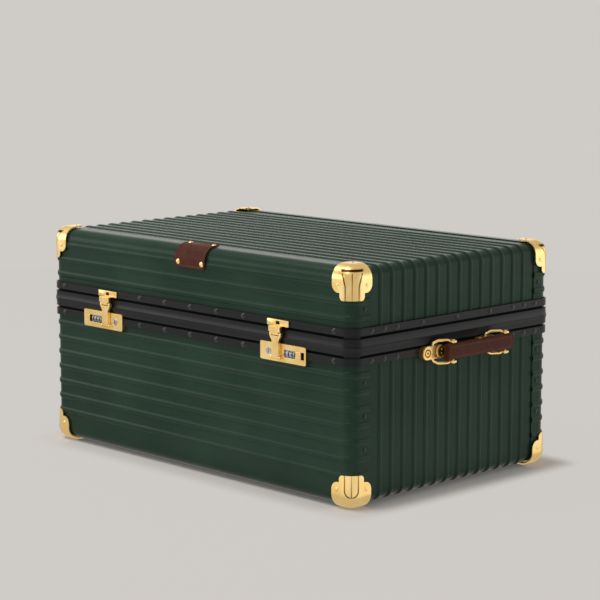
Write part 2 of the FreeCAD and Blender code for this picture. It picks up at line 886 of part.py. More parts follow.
def seam_rivet_places(outer, up, first_rib):
    """Every second flat between the ribs of a wrapped panel that is clear of the caps, or the flat
    between the first rib and the frame where none is."""
    ribs = panel_ribs(outer, up, first_rib)
    ribs = ribs if up > 0 else ribs[::-1]
    flats = [(low + high) / 2 for low, high in zip(ribs, ribs[1:])][::2]
    clear = float(s.cap_lobe_length)
    heights = [height for height in flats if abs(outer - height) > clear]
    if not heights:
        frame_edge = float(s.parting_height) + up * float(s.frame_height)
        heights = [(ribs[0] + frame_edge) / 2]
    along = float(half_depth) - float(s.seam_rivet_place)
    level = -float(panel_level)
    return [
        on_face(face, side * along, height, level)
        for face in ("left", "right") for side in (-1, 1) for height in heights
    ]


seam_rivet = rivet_shape(
    float(s.seam_rivet_radius), float(s.seam_rivet_dome), float(sheet_back - panel_level)
)
rivet_group("base_seam_rivets", seam_rivet,
            seam_rivet_places(base_edge, -1, float(s.base_first_rib)))
rivet_group("lid_seam_rivets", seam_rivet,
            seam_rivet_places(lid_edge, 1, float(s.lid_first_rib)))

cap_rivet = rivet_shape(float(s.cap_rivet_radius), float(s.cap_rivet_dome), float(floor_height + sheet_back))
ear_place = float(s.cap_rivet_place)
ears = [
    FreeCAD.Placement(Vector(ear_place, 0, ear_place), faces["front"]),
    FreeCAD.Placement(Vector(0, ear_place, ear_place), faces["left"]),
    FreeCAD.Placement(Vector(ear_place, ear_place, 0), FreeCAD.Rotation(Vector(1, 0, 0), 180)),
]
for half, ears_used in (("lid", ears), ("base", ears[:2])):
    spots = [cap.multiply(ear) for cap in cap_places[half] for ear in ears_used]
    rivet_group(f"{half}_cap_rivets", cap_rivet, spots)


# Leather badge tab over the front edge of the lid
def badge_side(thick):
    """Inner or outer line of the tab, from its lower end to its end on top of the lid."""
    front = -float(half_depth + s.badge_gap) - thick
    top = float(top_height - panel_level + s.badge_gap) + thick
    radius = float(s.corner_radius) + thick
    low = Vector(-float(s.badge_width) / 2, front, float(top_height - s.badge_drop))
    turn = Vector(low.x, front, top)
    stop = Vector(low.x, -float(half_depth - s.badge_reach), top)
    return rounded_path([low, turn, stop], radius)


badge_inside = badge_side(0)
badge_outside = badge_side(float(s.badge_thickness))
badge_ends = [
    Part.LineSegment(first.Vertexes[index].Point, last.Vertexes[index].Point).toShape()
    for first, last, index in ((badge_inside, badge_outside, 0), (badge_inside, badge_outside, -1))
]
badge_wire = Part.Wire(Part.__sortEdges__(badge_inside.Edges + badge_outside.Edges + badge_ends))
badge = Part.Face(badge_wire).extrude(Vector(float(s.badge_width), 0, 0))
node(feature("badge_tab", badge), "badge_tab")

badge_rivet = rivet_shape(
    float(s.badge_rivet_radius), float(s.badge_rivet_dome),
    float(s.badge_thickness + s.badge_gap + panel_level + s.sheet_thickness),
)
badge_front_out = float(s.badge_gap + s.badge_thickness)
badge_top = float(top_height - panel_level + s.badge_gap + s.badge_thickness)
badge_rivet_y = -float(half_depth - s.badge_reach + s.badge_rivet_inset)
badge_places = []
for side in (-1, 1):
    x = side * float(s.badge_rivet_spacing) / 2
    badge_rivet_height = float(top_height - s.badge_drop + s.badge_rivet_rise)
    badge_places.append(on_face("front", x, badge_rivet_height, badge_front_out))
    badge_places.append(FreeCAD.Placement(Vector(x, badge_rivet_y, badge_top), faces["top"]))
rivet_group("badge_rivets", badge_rivet, badge_places)


# Hinges at the back: leaves on both flanges and knuckles round a pin at the parting plane
hinge_y = half_depth + s.hinge_axis_out
knuckle = s.hinge_width / 5
leaf_y = (half_depth + seat_out, half_depth + seat_out + s.hinge_leaf_thickness)
barrel_gap = s.hinge_barrel_radius + s.hinge_knuckle_gap


def hinge_leaves(label, up, numbers):
    pieces = []
    for side in (-1, 1):
        name = f"{label}_{'right' if side > 0 else 'left'}"
        start = side * s.hinge_place - s.hinge_width / 2
        heights = [s.parting_height + up * barrel_gap, s.parting_height + up * s.frame_height]
        heights = heights if up > 0 else heights[::-1]
        parts = [box(name + "_plate", (start, start + s.hinge_width), leaf_y, heights)]
        holes = []
        for number in numbers:
            low = start + number * knuckle + s.hinge_knuckle_gap / 2
            high = low + knuckle - s.hinge_knuckle_gap
            arm = [s.parting_height, s.parting_height + up * barrel_gap]
            arm = arm if up > 0 else arm[::-1]
            parts.append(box(f"{name}_arm_{number}", (low, high), leaf_y, arm))
            parts.append(rod(f"{name}_knuckle_{number}", "x", (low, hinge_y, s.parting_height),
                             s.hinge_barrel_radius, high - low))
        holes.append(rod(name + "_bore", "x", (start, hinge_y, s.parting_height),
                         s.hinge_pin_radius + s.pivot_clearance, s.hinge_width))
        pieces.append(cut(name, fuse(name + "_solid", *parts), *holes))
    return node(group(label, *pieces), label)


hinge_leaves("hinge_base_leaves", -1, (0, 2, 4))
hinge_leaves("hinge_lid_leaves", 1, (1, 3))
hinge_pins = [
    rod(f"hinge_pin_{index}", "x", (side * s.hinge_place - s.hinge_width / 2, hinge_y, s.parting_height),
        s.hinge_pin_radius, s.hinge_width)
    for index, side in enumerate((-1, 1))
]
node(group("hinge_pins", *hinge_pins), "hinge_pins")


def hinge_notch(name, side):
    x = side * s.hinge_place
    half = s.hinge_width / 2 + s.running_gap
    y = (half_depth + s.hinge_notch_out, half_depth + 2 * s.hinge_axis_out)
    z = (s.parting_height - bulge_height, s.parting_height + bulge_height)
    return box(name, (x - half, x + half), y, z)


# Locks: a plate with its housing sunk into the base, three dials, a slide, a key barrel and a lever
lock_place = half_length - s.lock_inset
lock_height = s.parting_height - s.lock_drop
plate_front = seat_out + s.lock_plate_thickness
lever_back = plate_front + s.running_gap
lever_axis_out = lever_back + s.lever_thickness / 2
lever_axis_height = lock_height - s.lock_height / 2 + s.lever_pivot_rise
hook_axis_height = lever_axis_height + s.hook_pivot_height


def front_y(out):
    return -(half_depth + out)


def lock_x(side, offset, half):
    """Stretch of a lock about an offset towards its outer end."""
    middle = lock_place + offset
    return span(side, middle - half, middle + half)


def lock_window(name, side, grow_x, grow_z, back, width, height):
    x = lock_x(side, 0, width / 2 + grow_x)
    z = (lock_height - height / 2 - grow_z, lock_height + height / 2 + grow_z)
    return box(name, x, (front_y(s.hook_front_out), front_y(back)), z)


def lock_cuts(name, side):
    """Room for a lock in the base frame and the front panel."""
    housing = lock_window(name + "_housing", side, s.running_gap, s.running_gap, -s.lock_housing_back,
                          s.lock_housing_width, s.lock_housing_height)
    plate = lock_window(name + "_plate", side, s.running_gap, s.running_gap, flange_out + s.seat_gap / 2,
                        s.lock_width, s.lock_height)
    return [housing, plate]


def lock_plate(name, side):
    body = doc.addObject("PartDesign::Body", name + "_front")
    face = sketch(body, "XZ_Plane", half_depth + seat_out)
    z = (lock_height - s.lock_height / 2, lock_height + s.lock_height / 2)
    rectangle(face, lock_x(side, 0, s.lock_width / 2), z)
    pad(body, face, s.lock_plate_thickness)
    round_edges(body, s.lock_corner_radius, lambda edge: runs_along(edge, Vector(0, 1, 0)))
    holes = sketch(body, "XZ_Plane", half_depth + plate_front)
    slot = (lock_height - s.slot_height / 2, lock_height + s.slot_height / 2)
    rectangle(holes, lock_x(side, s.slot_place, s.slot_length / 2), slot)
    disc(holes, side * (lock_place + s.key_place), lock_height, s.key_radius + s.key_clearance)
    pocket(body, holes, s.lock_plate_thickness)

    back = (front_y(seat_out), front_y(-s.lock_housing_back))
    half_height = s.lock_housing_height / 2
    wall = s.lock_housing_wall
    z = (lock_height - half_height, lock_height + half_height)
    shell = box(name + "_shell", lock_x(side, 0, s.lock_housing_width / 2), back, z)
    room = box(name + "_room", lock_x(side, 0, s.lock_housing_width / 2 - wall), back,
               (z[0] + wall, z[1] - wall))
    parts = [body, cut(name + "_rim", shell, room)]
    for end in (-1, 1):
        offset = s.dial_place + end * (s.dial_window_width / 2 + s.dial_post_thickness / 2)
        parts.append(box(f"{name}_post_{end + 1}", lock_x(side, offset, s.dial_post_thickness / 2), back, z))
        offset = s.lever_place + end * (s.lever_width / 2 + s.running_gap + s.lug_width / 2)
        x = lock_x(side, offset, s.lug_width / 2)
        lug_radius = s.lever_thickness / 2
        lug_z = (lever_axis_height - lug_radius, lever_axis_height + lug_radius)
        parts.append(box(f"{name}_lug_{end + 1}", x, (front_y(lever_axis_out), front_y(plate_front)), lug_z))
        lug_end = (x[0], front_y(lever_axis_out), lever_axis_height)
        parts.append(rod(f"{name}_lug_round_{end + 1}", "x", lug_end, lug_radius, s.lug_width))
    window_x = lock_x(side, s.dial_place, s.dial_window_width / 2)
    window = rod(name + "_window", "x", (window_x[0], front_y(s.dial_axis_out), lock_height),
                 s.dial_radius + s.running_gap, window_x[1] - window_x[0])
    axle_x = lock_x(side, s.dial_place, s.dial_window_width / 2 + s.dial_post_thickness)
    axle_bore = rod(name + "_axle_bore", "x", (axle_x[0], front_y(s.dial_axis_out), lock_height),
                    s.dial_axle_radius + s.pivot_clearance / 2, axle_x[1] - axle_x[0])
    pin_x = lever_pin_span(side)
    pin_bore = rod(name + "_pin_bore", "x", (pin_x[0], front_y(lever_axis_out), lever_axis_height),
                   s.lever_pin_radius + s.pivot_clearance / 2, pin_x[1] - pin_x[0])
    return node(cut(name, fuse(name + "_solid", *parts), window, axle_bore, pin_bore), name)


def lever_pin_span(side):
    return lock_x(side, s.lever_place, s.lever_width / 2 + s.running_gap + s.lug_width)


def lock_lever(name, side):
    body = doc.addObject("PartDesign::Body", name + "_bar")
    profile = sketch(body, "XZ_Plane", half_depth + lever_back)
    middle = side * (lock_place + s.lever_place)
    foot = s.lever_width / 2
    waist = s.lever_waist_width / 2
    shoulder = s.lever_shoulder_width / 2
    notch = s.hook_knuckle_width / 2 + s.running_gap
    notch_depth = s.lever_thickness / 2 + s.running_gap
    levels = [lever_axis_height + rise for rise in (0, s.lever_waist_height / 2, s.lever_waist_height,
                                                   s.lever_shoulder_height, s.hook_pivot_height)]
    right = [(foot, levels[0]), (foot, levels[1]), (waist, levels[2]), (shoulder, levels[3]),
             (shoulder, levels[4]), (notch, levels[4]), (notch, levels[4] - notch_depth)]
    corners = [(middle + x, z) for x, z in right] + [(middle - x, z) for x, z in right[::-1]]
    outline(profile, corners)
    pad(body, profile, s.lever_thickness)
    axis_y = front_y(lever_axis_out)
    round_radius = s.lever_thickness / 2
    parts = [body]
    parts.append(rod(name + "_foot", "x", (middle - foot, axis_y, lever_axis_height), round_radius, 2 * foot))
    for end, start in ((0, middle - shoulder), (1, middle + notch)):
        parts.append(rod(f"{name}_ear_{end}", "x", (start, axis_y, hook_axis_height), round_radius,
                         shoulder - notch))
    parts.append(rod(name + "_hook_pin", "x", (middle - shoulder, axis_y, hook_axis_height),
                     s.hook_pin_radius, 2 * shoulder))
    bore = rod(name + "_bore", "x", (middle - foot, axis_y, lever_axis_height),
               s.lever_pin_radius + s.pivot_clearance, 2 * foot)
    return node(cut(name, fuse(name + "_solid", *parts), bore), name)


def lock_hook(name, side):
    body = doc.addObject("PartDesign::Body", name + "_plate")
    profile = sketch(body, "XZ_Plane", half_depth + s.hook_front_out)
    middle = side * (lock_place + s.lever_place)
    neck = s.hook_knuckle_width / 2
    shoulder = s.lever_shoulder_width / 2
    clear = hook_axis_height + s.lever_thickness / 2 + 2 * s.running_gap
    top = hook_axis_height + s.hook_top
    corners = [
        (middle - neck, hook_axis_height), (middle + neck, hook_axis_height), (middle + neck, clear),
        (middle + shoulder, clear), (middle + shoulder, top), (middle - shoulder, top),
        (middle - shoulder, clear), (middle - neck, clear),
    ]
    outline(profile, corners)
    pad(body, profile, s.hook_thickness, backwards=True)
    axis_y = front_y(lever_axis_out)
    knuckle_rod = rod(name + "_knuckle", "x", (middle - neck, axis_y, hook_axis_height),
                      s.lever_thickness / 2, 2 * neck)
    claw_y = (front_y(s.hook_front_out - s.hook_thickness / 2), front_y(keeper_front + 2 * s.running_gap))
    claw_half = s.hook_claw_width / 2
    claw = box(name + "_claw", (middle - claw_half, middle + claw_half), claw_y,
               (top - s.hook_claw_height, top))
    bore = rod(name + "_bore", "x", (middle - neck, axis_y, hook_axis_height),
               s.hook_pin_radius + s.pivot_clearance, 2 * neck)
    return node(cut(name, fuse(name + "_solid", body, knuckle_rod, claw), bore), name)


keeper_front = seat_out + s.keeper_thickness


def lock_keeper(name, side):
    body = new_body(name)
    profile = sketch(body, "XZ_Plane", half_depth + seat_out)
    middle = side * (lock_place + s.lever_place)
    low = s.parting_height + s.keeper_rise
    half = s.keeper_width / 2
    rectangle(profile, (middle - half, middle + half), (low, low + s.keeper_height))
    pad(body, profile, s.keeper_thickness)
    round_edges(body, s.lock_corner_radius / 2, lambda edge: runs_along(edge, Vector(0, 1, 0)))
    hole = sketch(body, "XZ_Plane", half_depth + keeper_front)
    hole_half = s.keeper_hole_width / 2
    hole_low = low + s.keeper_height / 2 - s.keeper_hole_height / 2
    rectangle(hole, (middle - hole_half, middle + hole_half), (hole_low, hole_low + s.keeper_hole_height))
    pocket(body, hole, s.keeper_thickness)


def lock_button(name, side):
    body = new_body(name)
    profile = sketch(body, "XZ_Plane", half_depth + plate_front + s.button_stand)
    slot_start = lock_x(side, s.slot_place, s.slot_length / 2)[0] + s.button_clearance
    half = s.slot_height / 2 - s.button_clearance
    rectangle(profile, (slot_start, slot_start + s.button_length), (lock_height - half, lock_height + half))
    pad(body, profile, s.button_depth, backwards=True)


def lock_key(name, side):
    body = new_body(name)
    x = side * (lock_place + s.key_place)
    profile = sketch(body, "XZ_Plane", half_depth + plate_front + s.key_stand)
    disc(profile, x, lock_height, s.key_radius)
    pad(body, profile, s.key_length, backwards=True)
    slot = sketch(body, "XZ_Plane", half_depth + plate_front + s.key_stand)
    half_width = s.key_slot_width / 2
    half_long = s.key_slot_length / 2
    rectangle(slot, (x - half_width, x + half_width), (lock_height - half_long, lock_height + half_long))
    pocket(body, slot, s.key_slot_depth)


def lock_dial(name, side, number):
    """Number wheel with ten shallow notches between its figures."""
    offset = s.dial_place + (number - 2) * s.dial_pitch
    x = lock_x(side, offset, s.dial_width / 2)
    axis = (front_y(s.dial_axis_out), lock_height)
    wheel = rod(name + "_wheel", "x", (x[0], *axis), s.dial_radius, s.dial_width)
    tools = [rod(name + "_bore", "x", (x[0], *axis), s.dial_axle_radius + s.pivot_clearance, s.dial_width)]
    for count in range(10):
        angle = 2 * math.pi * count / 10
        centre = (axis[0] + s.dial_radius * math.cos(angle), axis[1] + s.dial_radius * math.sin(angle))
        tools.append(rod(f"{name}_notch_{count}", "x", (x[0], *centre), s.dial_notch_radius, s.dial_width))
    return node(cut(name, wheel, *tools), name)


sides = (("left", -1), ("right", 1))
frame_cuts = []
panel_cuts = []
axles = []
pins = []
for word, side in sides:
    frame_cuts += lock_cuts(f"{word}_lock_frame_cut", side)
    panel_cuts += lock_cuts(f"{word}_lock_panel_cut", side)[:1]
    lock_plate(f"{word}_latch_plate", side)
    lock_lever(f"{word}_latch_lever", side)
    lock_hook(f"{word}_latch_hook", side)
    lock_keeper(f"{word}_latch_keeper", side)
    lock_button(f"{word}_latch_button", side)
    lock_key(f"{word}_latch_key_barrel", side)
    for number in (1, 2, 3):
        lock_dial(f"{word}_latch_dial_{number}", side, number)
    axle_x = lock_x(side, s.dial_place, s.dial_window_width / 2 + s.dial_post_thickness)
    axles.append(rod(f"{word}_dial_axle", "x", (axle_x[0], front_y(s.dial_axis_out), lock_height),
                     s.dial_axle_radius, axle_x[1] - axle_x[0]))
    pin_x = lever_pin_span(side)
    pins.append(rod(f"{word}_lever_pin", "x", (pin_x[0], front_y(lever_axis_out), lever_axis_height),
                    s.lever_pin_radius, pin_x[1] - pin_x[0]))
node(group("latch_dial_axles", *axles), "latch_dial_axles")
node(group("latch_pivot_pins", *pins), "latch_pivot_pins")

base_notches = [hinge_notch(f"base_hinge_notch_{word}", side) for word, side in sides]
lid_notches = [hinge_notch(f"lid_hinge_notch_{word}", side) for word, side in sides]
node(cut("base_frame", base_frame_body, *frame_cuts, *base_notches), "base_frame")
node(cut("lid_frame", lid_frame_body, *lid_notches), "lid_frame")
node(cut("base_front_panel", base_front_plain, *panel_cuts), "base_front_panel")


# Swing handles: two pivot plates, two stirrup links and a leather grip on each end
handle_height = s.parting_height - s.handle_drop


def end_x(side, out):
    return side * (half_length + out)


def end_span(side, low, high):
    return span(side, half_length + low, half_length + high)


def handle_plate(name, side, along):
    """Thick rounded plate with two ringed screw seats and an upright bore for a link."""
    half = s.handle_plate_length / 2
    radius = s.handle_plate_height / 2
    x = end_span(side, seat_out, seat_out + s.handle_plate_thickness)
    z = (handle_height - radius, handle_height + radius)
    y = (along - half + radius, along + half - radius)
    front = seat_out + s.handle_plate_thickness
    ring_x = end_span(side, front, front + s.handle_ring_height)
    parts = [box(name + "_middle", x, y, z)]
    holes = []
    seats = (along - s.handle_fixing_offset, along + s.handle_fixing_offset)
    for end, (centre, seat) in enumerate(zip(y, seats)):
        parts.append(rod(f"{name}_end_{end}", "x", (x[0], centre, handle_height), radius, x[1] - x[0]))
        ring = rod(f"{name}_ring_{end}", "x", (ring_x[0], seat, handle_height),
                   s.handle_ring_radius, s.handle_ring_height)
        bore = rod(f"{name}_ring_bore_{end}", "x", (ring_x[0], seat, handle_height),
                   s.handle_ring_bore, s.handle_ring_height)
        parts.append(cut(f"{name}_collar_{end}", ring, bore))
        holes.append(rod(f"{name}_screw_hole_{end}", "x", (x[0], seat, handle_height),
                         s.handle_screw_shank + s.pivot_clearance, x[1] - x[0]))
    holes.append(rod(name + "_pivot_bore", "z", (end_x(side, s.handle_pivot_out), along, z[0]),
                     s.link_bar_radius + s.pivot_clearance, s.handle_plate_height))
    return cut(name, fuse(name + "_solid", *parts), *holes)


def handle_screw(name, side, along):
    """Screw with a domed head in the ring and a shank through the frame."""
    head_x = end_span(side, seat_out + s.handle_plate_thickness,
                      seat_out + s.handle_plate_thickness + s.handle_ring_height)
    shank_x = end_span(side, -sheet_back, seat_out + s.handle_plate_thickness)
    head = rod(name + "_head", "x", (head_x[0], along, handle_height),
               s.handle_screw_radius, s.handle_ring_height)
    shank = rod(name + "_shank", "x", (shank_x[0], along, handle_height),
                s.handle_screw_shank, shank_x[1] - shank_x[0])
    solid = fuse(name + "_solid", head, shank)
    outer = head_x[1] if side > 0 else head_x[0]
    half = s.handle_screw_shank / 3
    depth = s.handle_ring_height / 2
    slot_x = (outer - depth, outer) if side > 0 else (outer, outer + depth)
    reach = s.handle_screw_radius
    slot = box(name + "_slot", slot_x, (along - half, along + half),
               (handle_height - reach, handle_height + reach))
    return cut(name, solid, slot)


def bent_wire(points, bend, radius):
    """Round wire along straight runs, with an arc of the bend's radius at each turn."""
    edges = []
    start = points[0]
    for before, corner, after in zip(points, points[1:], points[2:]):
        back = (before - corner).normalize()
        onward = (after - corner).normalize()
        half_angle = back.getAngle(onward) / 2
        reach = bend / math.tan(half_angle)
        inward = (back + onward).normalize() * (bend / math.sin(half_angle) - bend)
        edges.append(Part.LineSegment(start, corner + back * reach))
        start = corner + onward * reach
        edges.append(Part.Arc(corner + back * reach, corner + inward, start))
    edges.append(Part.LineSegment(start, points[-1]))
    path = Part.Wire([edge.toShape() for edge in edges])
    section = Part.Wire(Part.makeCircle(radius, points[0], points[1] - points[0]))
    return path.makePipeShell([section], True, False)


def handle_link(name, side, along, bore_clearance):
    """Stirrup of bent wire: an upright pivot bar, a bowed rail above and below, and a flat eye on each."""
    pivot = (end_x(side, s.handle_pivot_out), along)
    pin = (end_x(side, s.handle_pivot_out + s.link_swing_out), along + s.link_swing_along)
    start = Vector(float(pivot[0]), float(pivot[1]), float(handle_height))
    way = Vector(float(pin[0]), float(pin[1]), float(handle_height)) - start
    length = way.Length
    way.normalize()
    bends = [
        (0, float(s.link_rail_height)),
        (float(s.link_bow_rise), float(s.link_bow_height)),
        (length - float(s.link_bow_fall), float(s.link_bow_height)),
        (length - float(s.link_eye_lap), float(s.link_eye_height)),
    ]
    upper = [start + way * run + upright * height for run, height in bends]
    lower = [start + way * run - upright * height for run, height in bends]
    wire = bent_wire(lower[::-1] + upper, float(s.link_bend_radius), float(s.link_bar_radius))
    parts = [feature(name + "_wire", wire)]
    bores = []
    for up in (-1, 1):
        word = "top" if up > 0 else "bottom"
        eye_low = handle_height + up * s.link_eye_height - s.link_eye_thickness / 2
        parts.append(rod(f"{name}_{word}_eye", "z", (*pin, eye_low), s.link_eye_radius, s.link_eye_thickness))
        bores.append(rod(f"{name}_{word}_bore", "z", (*pin, eye_low - s.link_eye_thickness),
                         s.grip_pin_radius + bore_clearance, 3 * s.link_eye_thickness))
    return node(cut(name, fuse(name + "_solid", *parts), *bores), name)


def handle_grip(word, side):
    """Stitched leather grip, with an upright pin near each end for the links."""
    middle = s.link_swing_along
    pivot_out = s.handle_pivot_out + s.link_swing_out
    half_thick = s.grip_thickness / 2
    x = end_span(side, pivot_out - half_thick, pivot_out + half_thick)
    y = (middle - s.grip_length / 2, middle + s.grip_length / 2)
    z = (handle_height - s.grip_height / 2, handle_height + s.grip_height / 2)
    block = doc.addObject("PartDesign::Body", f"{word}_grip_block")
    profile = sketch(block, "YZ_Plane", x[0])
    rectangle(profile, y, z)
    pad(block, profile, s.grip_thickness)
    round_edges(block, s.grip_corner_radius, lambda edge: runs_along(edge, Vector(0, 1, 0)))
    bores = []
    pins_here = []
    for end, along in enumerate((middle - s.handle_pivot_spacing / 2, middle + s.handle_pivot_spacing / 2)):
        reach = s.link_eye_height + s.link_eye_thickness / 2 + s.running_gap
        name = f"{word}_grip_pin_{end}"
        axis = (end_x(side, pivot_out), along)
        bores.append(rod(name + "_bore", "z", (*axis, z[0]), s.grip_pin_radius + s.pivot_clearance / 2,
                         s.grip_height))
        parts = [rod(name + "_stem", "z", (*axis, handle_height - reach), s.grip_pin_radius, 2 * reach)]
        for up, start in ((1, handle_height + reach), (-1, handle_height - reach - s.grip_pin_nub_height)):
            parts.append(rod(f"{name}_nub_{up + 1}", "z", (*axis, start), s.grip_pin_nub,
                             s.grip_pin_nub_height))
        pins_here.append(fuse(name, *parts))
    node(cut(f"{word}_handle_grip", block, *bores), f"{word}_handle_grip")
    node(group(f"{word}_handle_grip_pins", *pins_here), f"{word}_handle_grip_pins")


plates = []
screws = []
for word, side in sides:
    for end, direction in (("front", -1), ("back", 1)):
        along = direction * s.handle_pivot_spacing / 2
        plates.append(handle_plate(f"{word}_{end}_handle_plate", side, along))
        for number, offset in enumerate((-s.handle_fixing_offset, s.handle_fixing_offset)):
            screws.append(handle_screw(f"{word}_{end}_screw_{number}", side, along + offset))
        clearance = s.pivot_clearance if end == "front" else s.open_pivot_clearance
        handle_link(f"{word}_handle_{end}_link", side, along, clearance)
    handle_grip(word, side)
node(group("handle_end_plates", *plates), "handle_end_plates")
node(group("handle_screws", *screws), "handle_screws")


# Build, test every object and write the sub-parts
doc.recompute()
failed = [obj.Name for obj in doc.Objects if "Invalid" in obj.State or "Error" in obj.State]
if failed:
    raise RuntimeError("objects that failed: " + ", ".join(failed))
for obj in nodes:
    if obj.Shape.isNull() or not obj.Shape.isValid() or not obj.Shape.Solids:
        raise RuntimeError("bad shape: " + obj.Label)

os.makedirs("parts", exist_ok=True)
for obj in nodes:
    obj.Shape.exportStep(f"parts/{obj.Label}.step")
    print(f"{obj.Label}: {len(obj.Shape.Solids)} solids, {obj.Shape.Volume / 1000:.2f} cm3")
print(len(nodes), "sub-parts")
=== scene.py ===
import json
import math

import bpy
from mathutils import Matrix, Vector

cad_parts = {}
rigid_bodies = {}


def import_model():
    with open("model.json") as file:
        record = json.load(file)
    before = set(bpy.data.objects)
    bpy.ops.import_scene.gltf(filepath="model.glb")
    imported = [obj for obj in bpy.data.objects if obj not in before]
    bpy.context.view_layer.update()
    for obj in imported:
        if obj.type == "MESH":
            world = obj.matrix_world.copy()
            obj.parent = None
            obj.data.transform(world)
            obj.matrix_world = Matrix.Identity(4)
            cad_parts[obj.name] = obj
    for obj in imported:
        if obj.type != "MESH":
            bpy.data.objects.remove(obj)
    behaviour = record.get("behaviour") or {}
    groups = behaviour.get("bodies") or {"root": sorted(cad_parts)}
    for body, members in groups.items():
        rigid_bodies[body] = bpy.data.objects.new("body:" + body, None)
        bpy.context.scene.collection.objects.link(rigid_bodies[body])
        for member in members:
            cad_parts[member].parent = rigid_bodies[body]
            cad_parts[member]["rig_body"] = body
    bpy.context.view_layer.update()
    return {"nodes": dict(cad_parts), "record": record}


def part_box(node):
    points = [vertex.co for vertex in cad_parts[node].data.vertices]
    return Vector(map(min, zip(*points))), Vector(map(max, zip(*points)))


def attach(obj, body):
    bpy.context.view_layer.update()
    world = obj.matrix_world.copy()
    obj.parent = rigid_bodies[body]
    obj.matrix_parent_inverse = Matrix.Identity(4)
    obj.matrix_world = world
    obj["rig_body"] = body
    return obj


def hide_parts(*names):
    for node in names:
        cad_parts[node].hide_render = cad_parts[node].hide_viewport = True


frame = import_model()
nodes = frame["nodes"]
slotOf = {entry["node"]: entry["material_slot"] for entry in frame["record"]["subparts"]}
print("frame loaded:", len(nodes), "nodes")


# small helpers; lengths are metres unless a note says otherwise
mergeReach = 0.000002  # points closer than this are one
straight = 0.999  # share of an edge's length that has to lie along its axis


def selectOnly(obj):
    bpy.ops.object.select_all(action="DESELECT")
    obj.select_set(True)
    bpy.context.view_layer.objects.active = obj


def applyModifier(obj, kind, **settings):
    selectOnly(obj)
    modifier = obj.modifiers.new(kind.title(), kind)
    for name, value in settings.items():
        setattr(modifier, name, value)
    bpy.ops.object.modifier_apply(modifier=modifier.name)


def bakePlace(obj):  # place into the mesh, object back to the origin
    selectOnly(obj)
    bpy.ops.object.transform_apply(location=True, rotation=True, scale=True)


def smoothByAngle(obj, degrees):
    selectOnly(obj)
    bpy.ops.object.shade_smooth_by_angle(angle=math.radians(degrees))


def giveMaterial(obj, material):
    obj.data.materials.clear()
    obj.data.materials.append(material)


def joinPieces(pieces, name):
    bpy.ops.object.select_all(action="DESELECT")
    for piece in pieces:
        piece.select_set(True)
    bpy.context.view_layer.objects.active = pieces[0]
    bpy.ops.object.join()
    pieces[0].name = name
    return pieces[0]


def mergedCopy(name, newName):  # a CAD node's mesh as one skin, for a piece that stands for it
    piece = bpy.data.objects.new(newName, nodes[name].data.copy())
    bpy.context.scene.collection.objects.link(piece)
    selectOnly(piece)
    bpy.ops.object.mode_set(mode="EDIT")
    bpy.ops.mesh.select_all(action="SELECT")
    bpy.ops.mesh.remove_doubles(threshold=mergeReach)
    bpy.ops.object.mode_set(mode="OBJECT")
    if piece.data.has_custom_normals:
        bpy.ops.mesh.customdata_custom_splitnormals_clear()
    return piece


def pickEdges(obj, wanted):  # leaves edit mode on, with the wanted edges selected
    selectOnly(obj)
    bpy.ops.object.mode_set(mode="EDIT")
    bpy.ops.mesh.select_mode(type="EDGE")
    bpy.ops.mesh.select_all(action="DESELECT")
    bpy.ops.object.mode_set(mode="OBJECT")
    points = obj.data.vertices
    for edge in obj.data.edges:
        edge.select = wanted(points[edge.vertices[0]].co, points[edge.vertices[1]].co)
    bpy.ops.object.mode_set(mode="EDIT")


def runsAlong(axis):
    def wanted(first, last):
        way = last - first
        return way.length > 0 and abs(way[axis]) > straight * way.length
    return wanted


def standFor(piece, name):
    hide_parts(name)
    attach(piece, nodes[name]["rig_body"])


def hexColour(text):  # sRGB hex to linear
    parts = [int(text[i:i + 2], 16) / 255 for i in (1, 3, 5)]
    linear = [c / 12.92 if c <= 0.04045 else ((c + 0.055) / 1.055) ** 2.4 for c in parts]
    return (*linear, 1.0)


def setInputs(node, inputs):  # a socket is linked, a plain value is set
    for name, value in inputs.items():
        if isinstance(value, bpy.types.NodeSocket):
            node.id_data.links.new(value, node.inputs[name])
        else:
            node.inputs[name].default_value = value


def addNode(tree, kind, inputs=None, stops=(), **settings):  # stops are the two ends of a colour ramp
    node = tree.nodes.new(kind)
    for name, value in settings.items():
        setattr(node, name, value)
    for index, (place, colour) in enumerate(stops):
        node.color_ramp.elements[index].position = place
        node.color_ramp.elements[index].color = hexColour(colour)
    setInputs(node, inputs or {})
    return node


def newMaterial(name):
    material = bpy.data.materials.new(name)
    material.use_nodes = True
    tree = material.node_tree
    place = addNode(tree, "ShaderNodeTexCoord").outputs["Object"]
    return material, tree, tree.nodes["Principled BSDF"], place


def workOut(tree, place, steps):  # a formula on x, y and z, a node for each step; the last result counts
    axes = addNode(tree, "ShaderNodeSeparateXYZ", {"Vector": place}).outputs
    values = {"x": axes["X"], "y": axes["Y"], "z": axes["Z"]}
    rangeInputs = ("Value", "From Min", "From Max", "To Min", "To Max")
    for result, operation, *terms in steps:
        terms = [values[term] if isinstance(term, str) else term for term in terms]
        if operation in ("LINEAR", "SMOOTHSTEP"):
            inputs = dict(zip(rangeInputs, terms))
            node = addNode(tree, "ShaderNodeMapRange", inputs, interpolation_type=operation)
        else:
            node = addNode(tree, "ShaderNodeMath", dict(enumerate(terms)), operation=operation)
        values[result] = node.outputs[0]
    return values[result]


# materials; pattern sizes in their dictionaries are millimetres, span is where a ramp starts and ends
noiseSpan = {"From Min": 0.3, "From Max": 0.7}  # most of a noise texture's values lie between
rise = (0.0, 1.0)
fall = (1.0, 0.0)


def patternScale(millimetres):
    return 1000 / millimetres


def tintStops(look):
    return (look["span"][0], look["dark"]), (look["span"][1], look["light"])


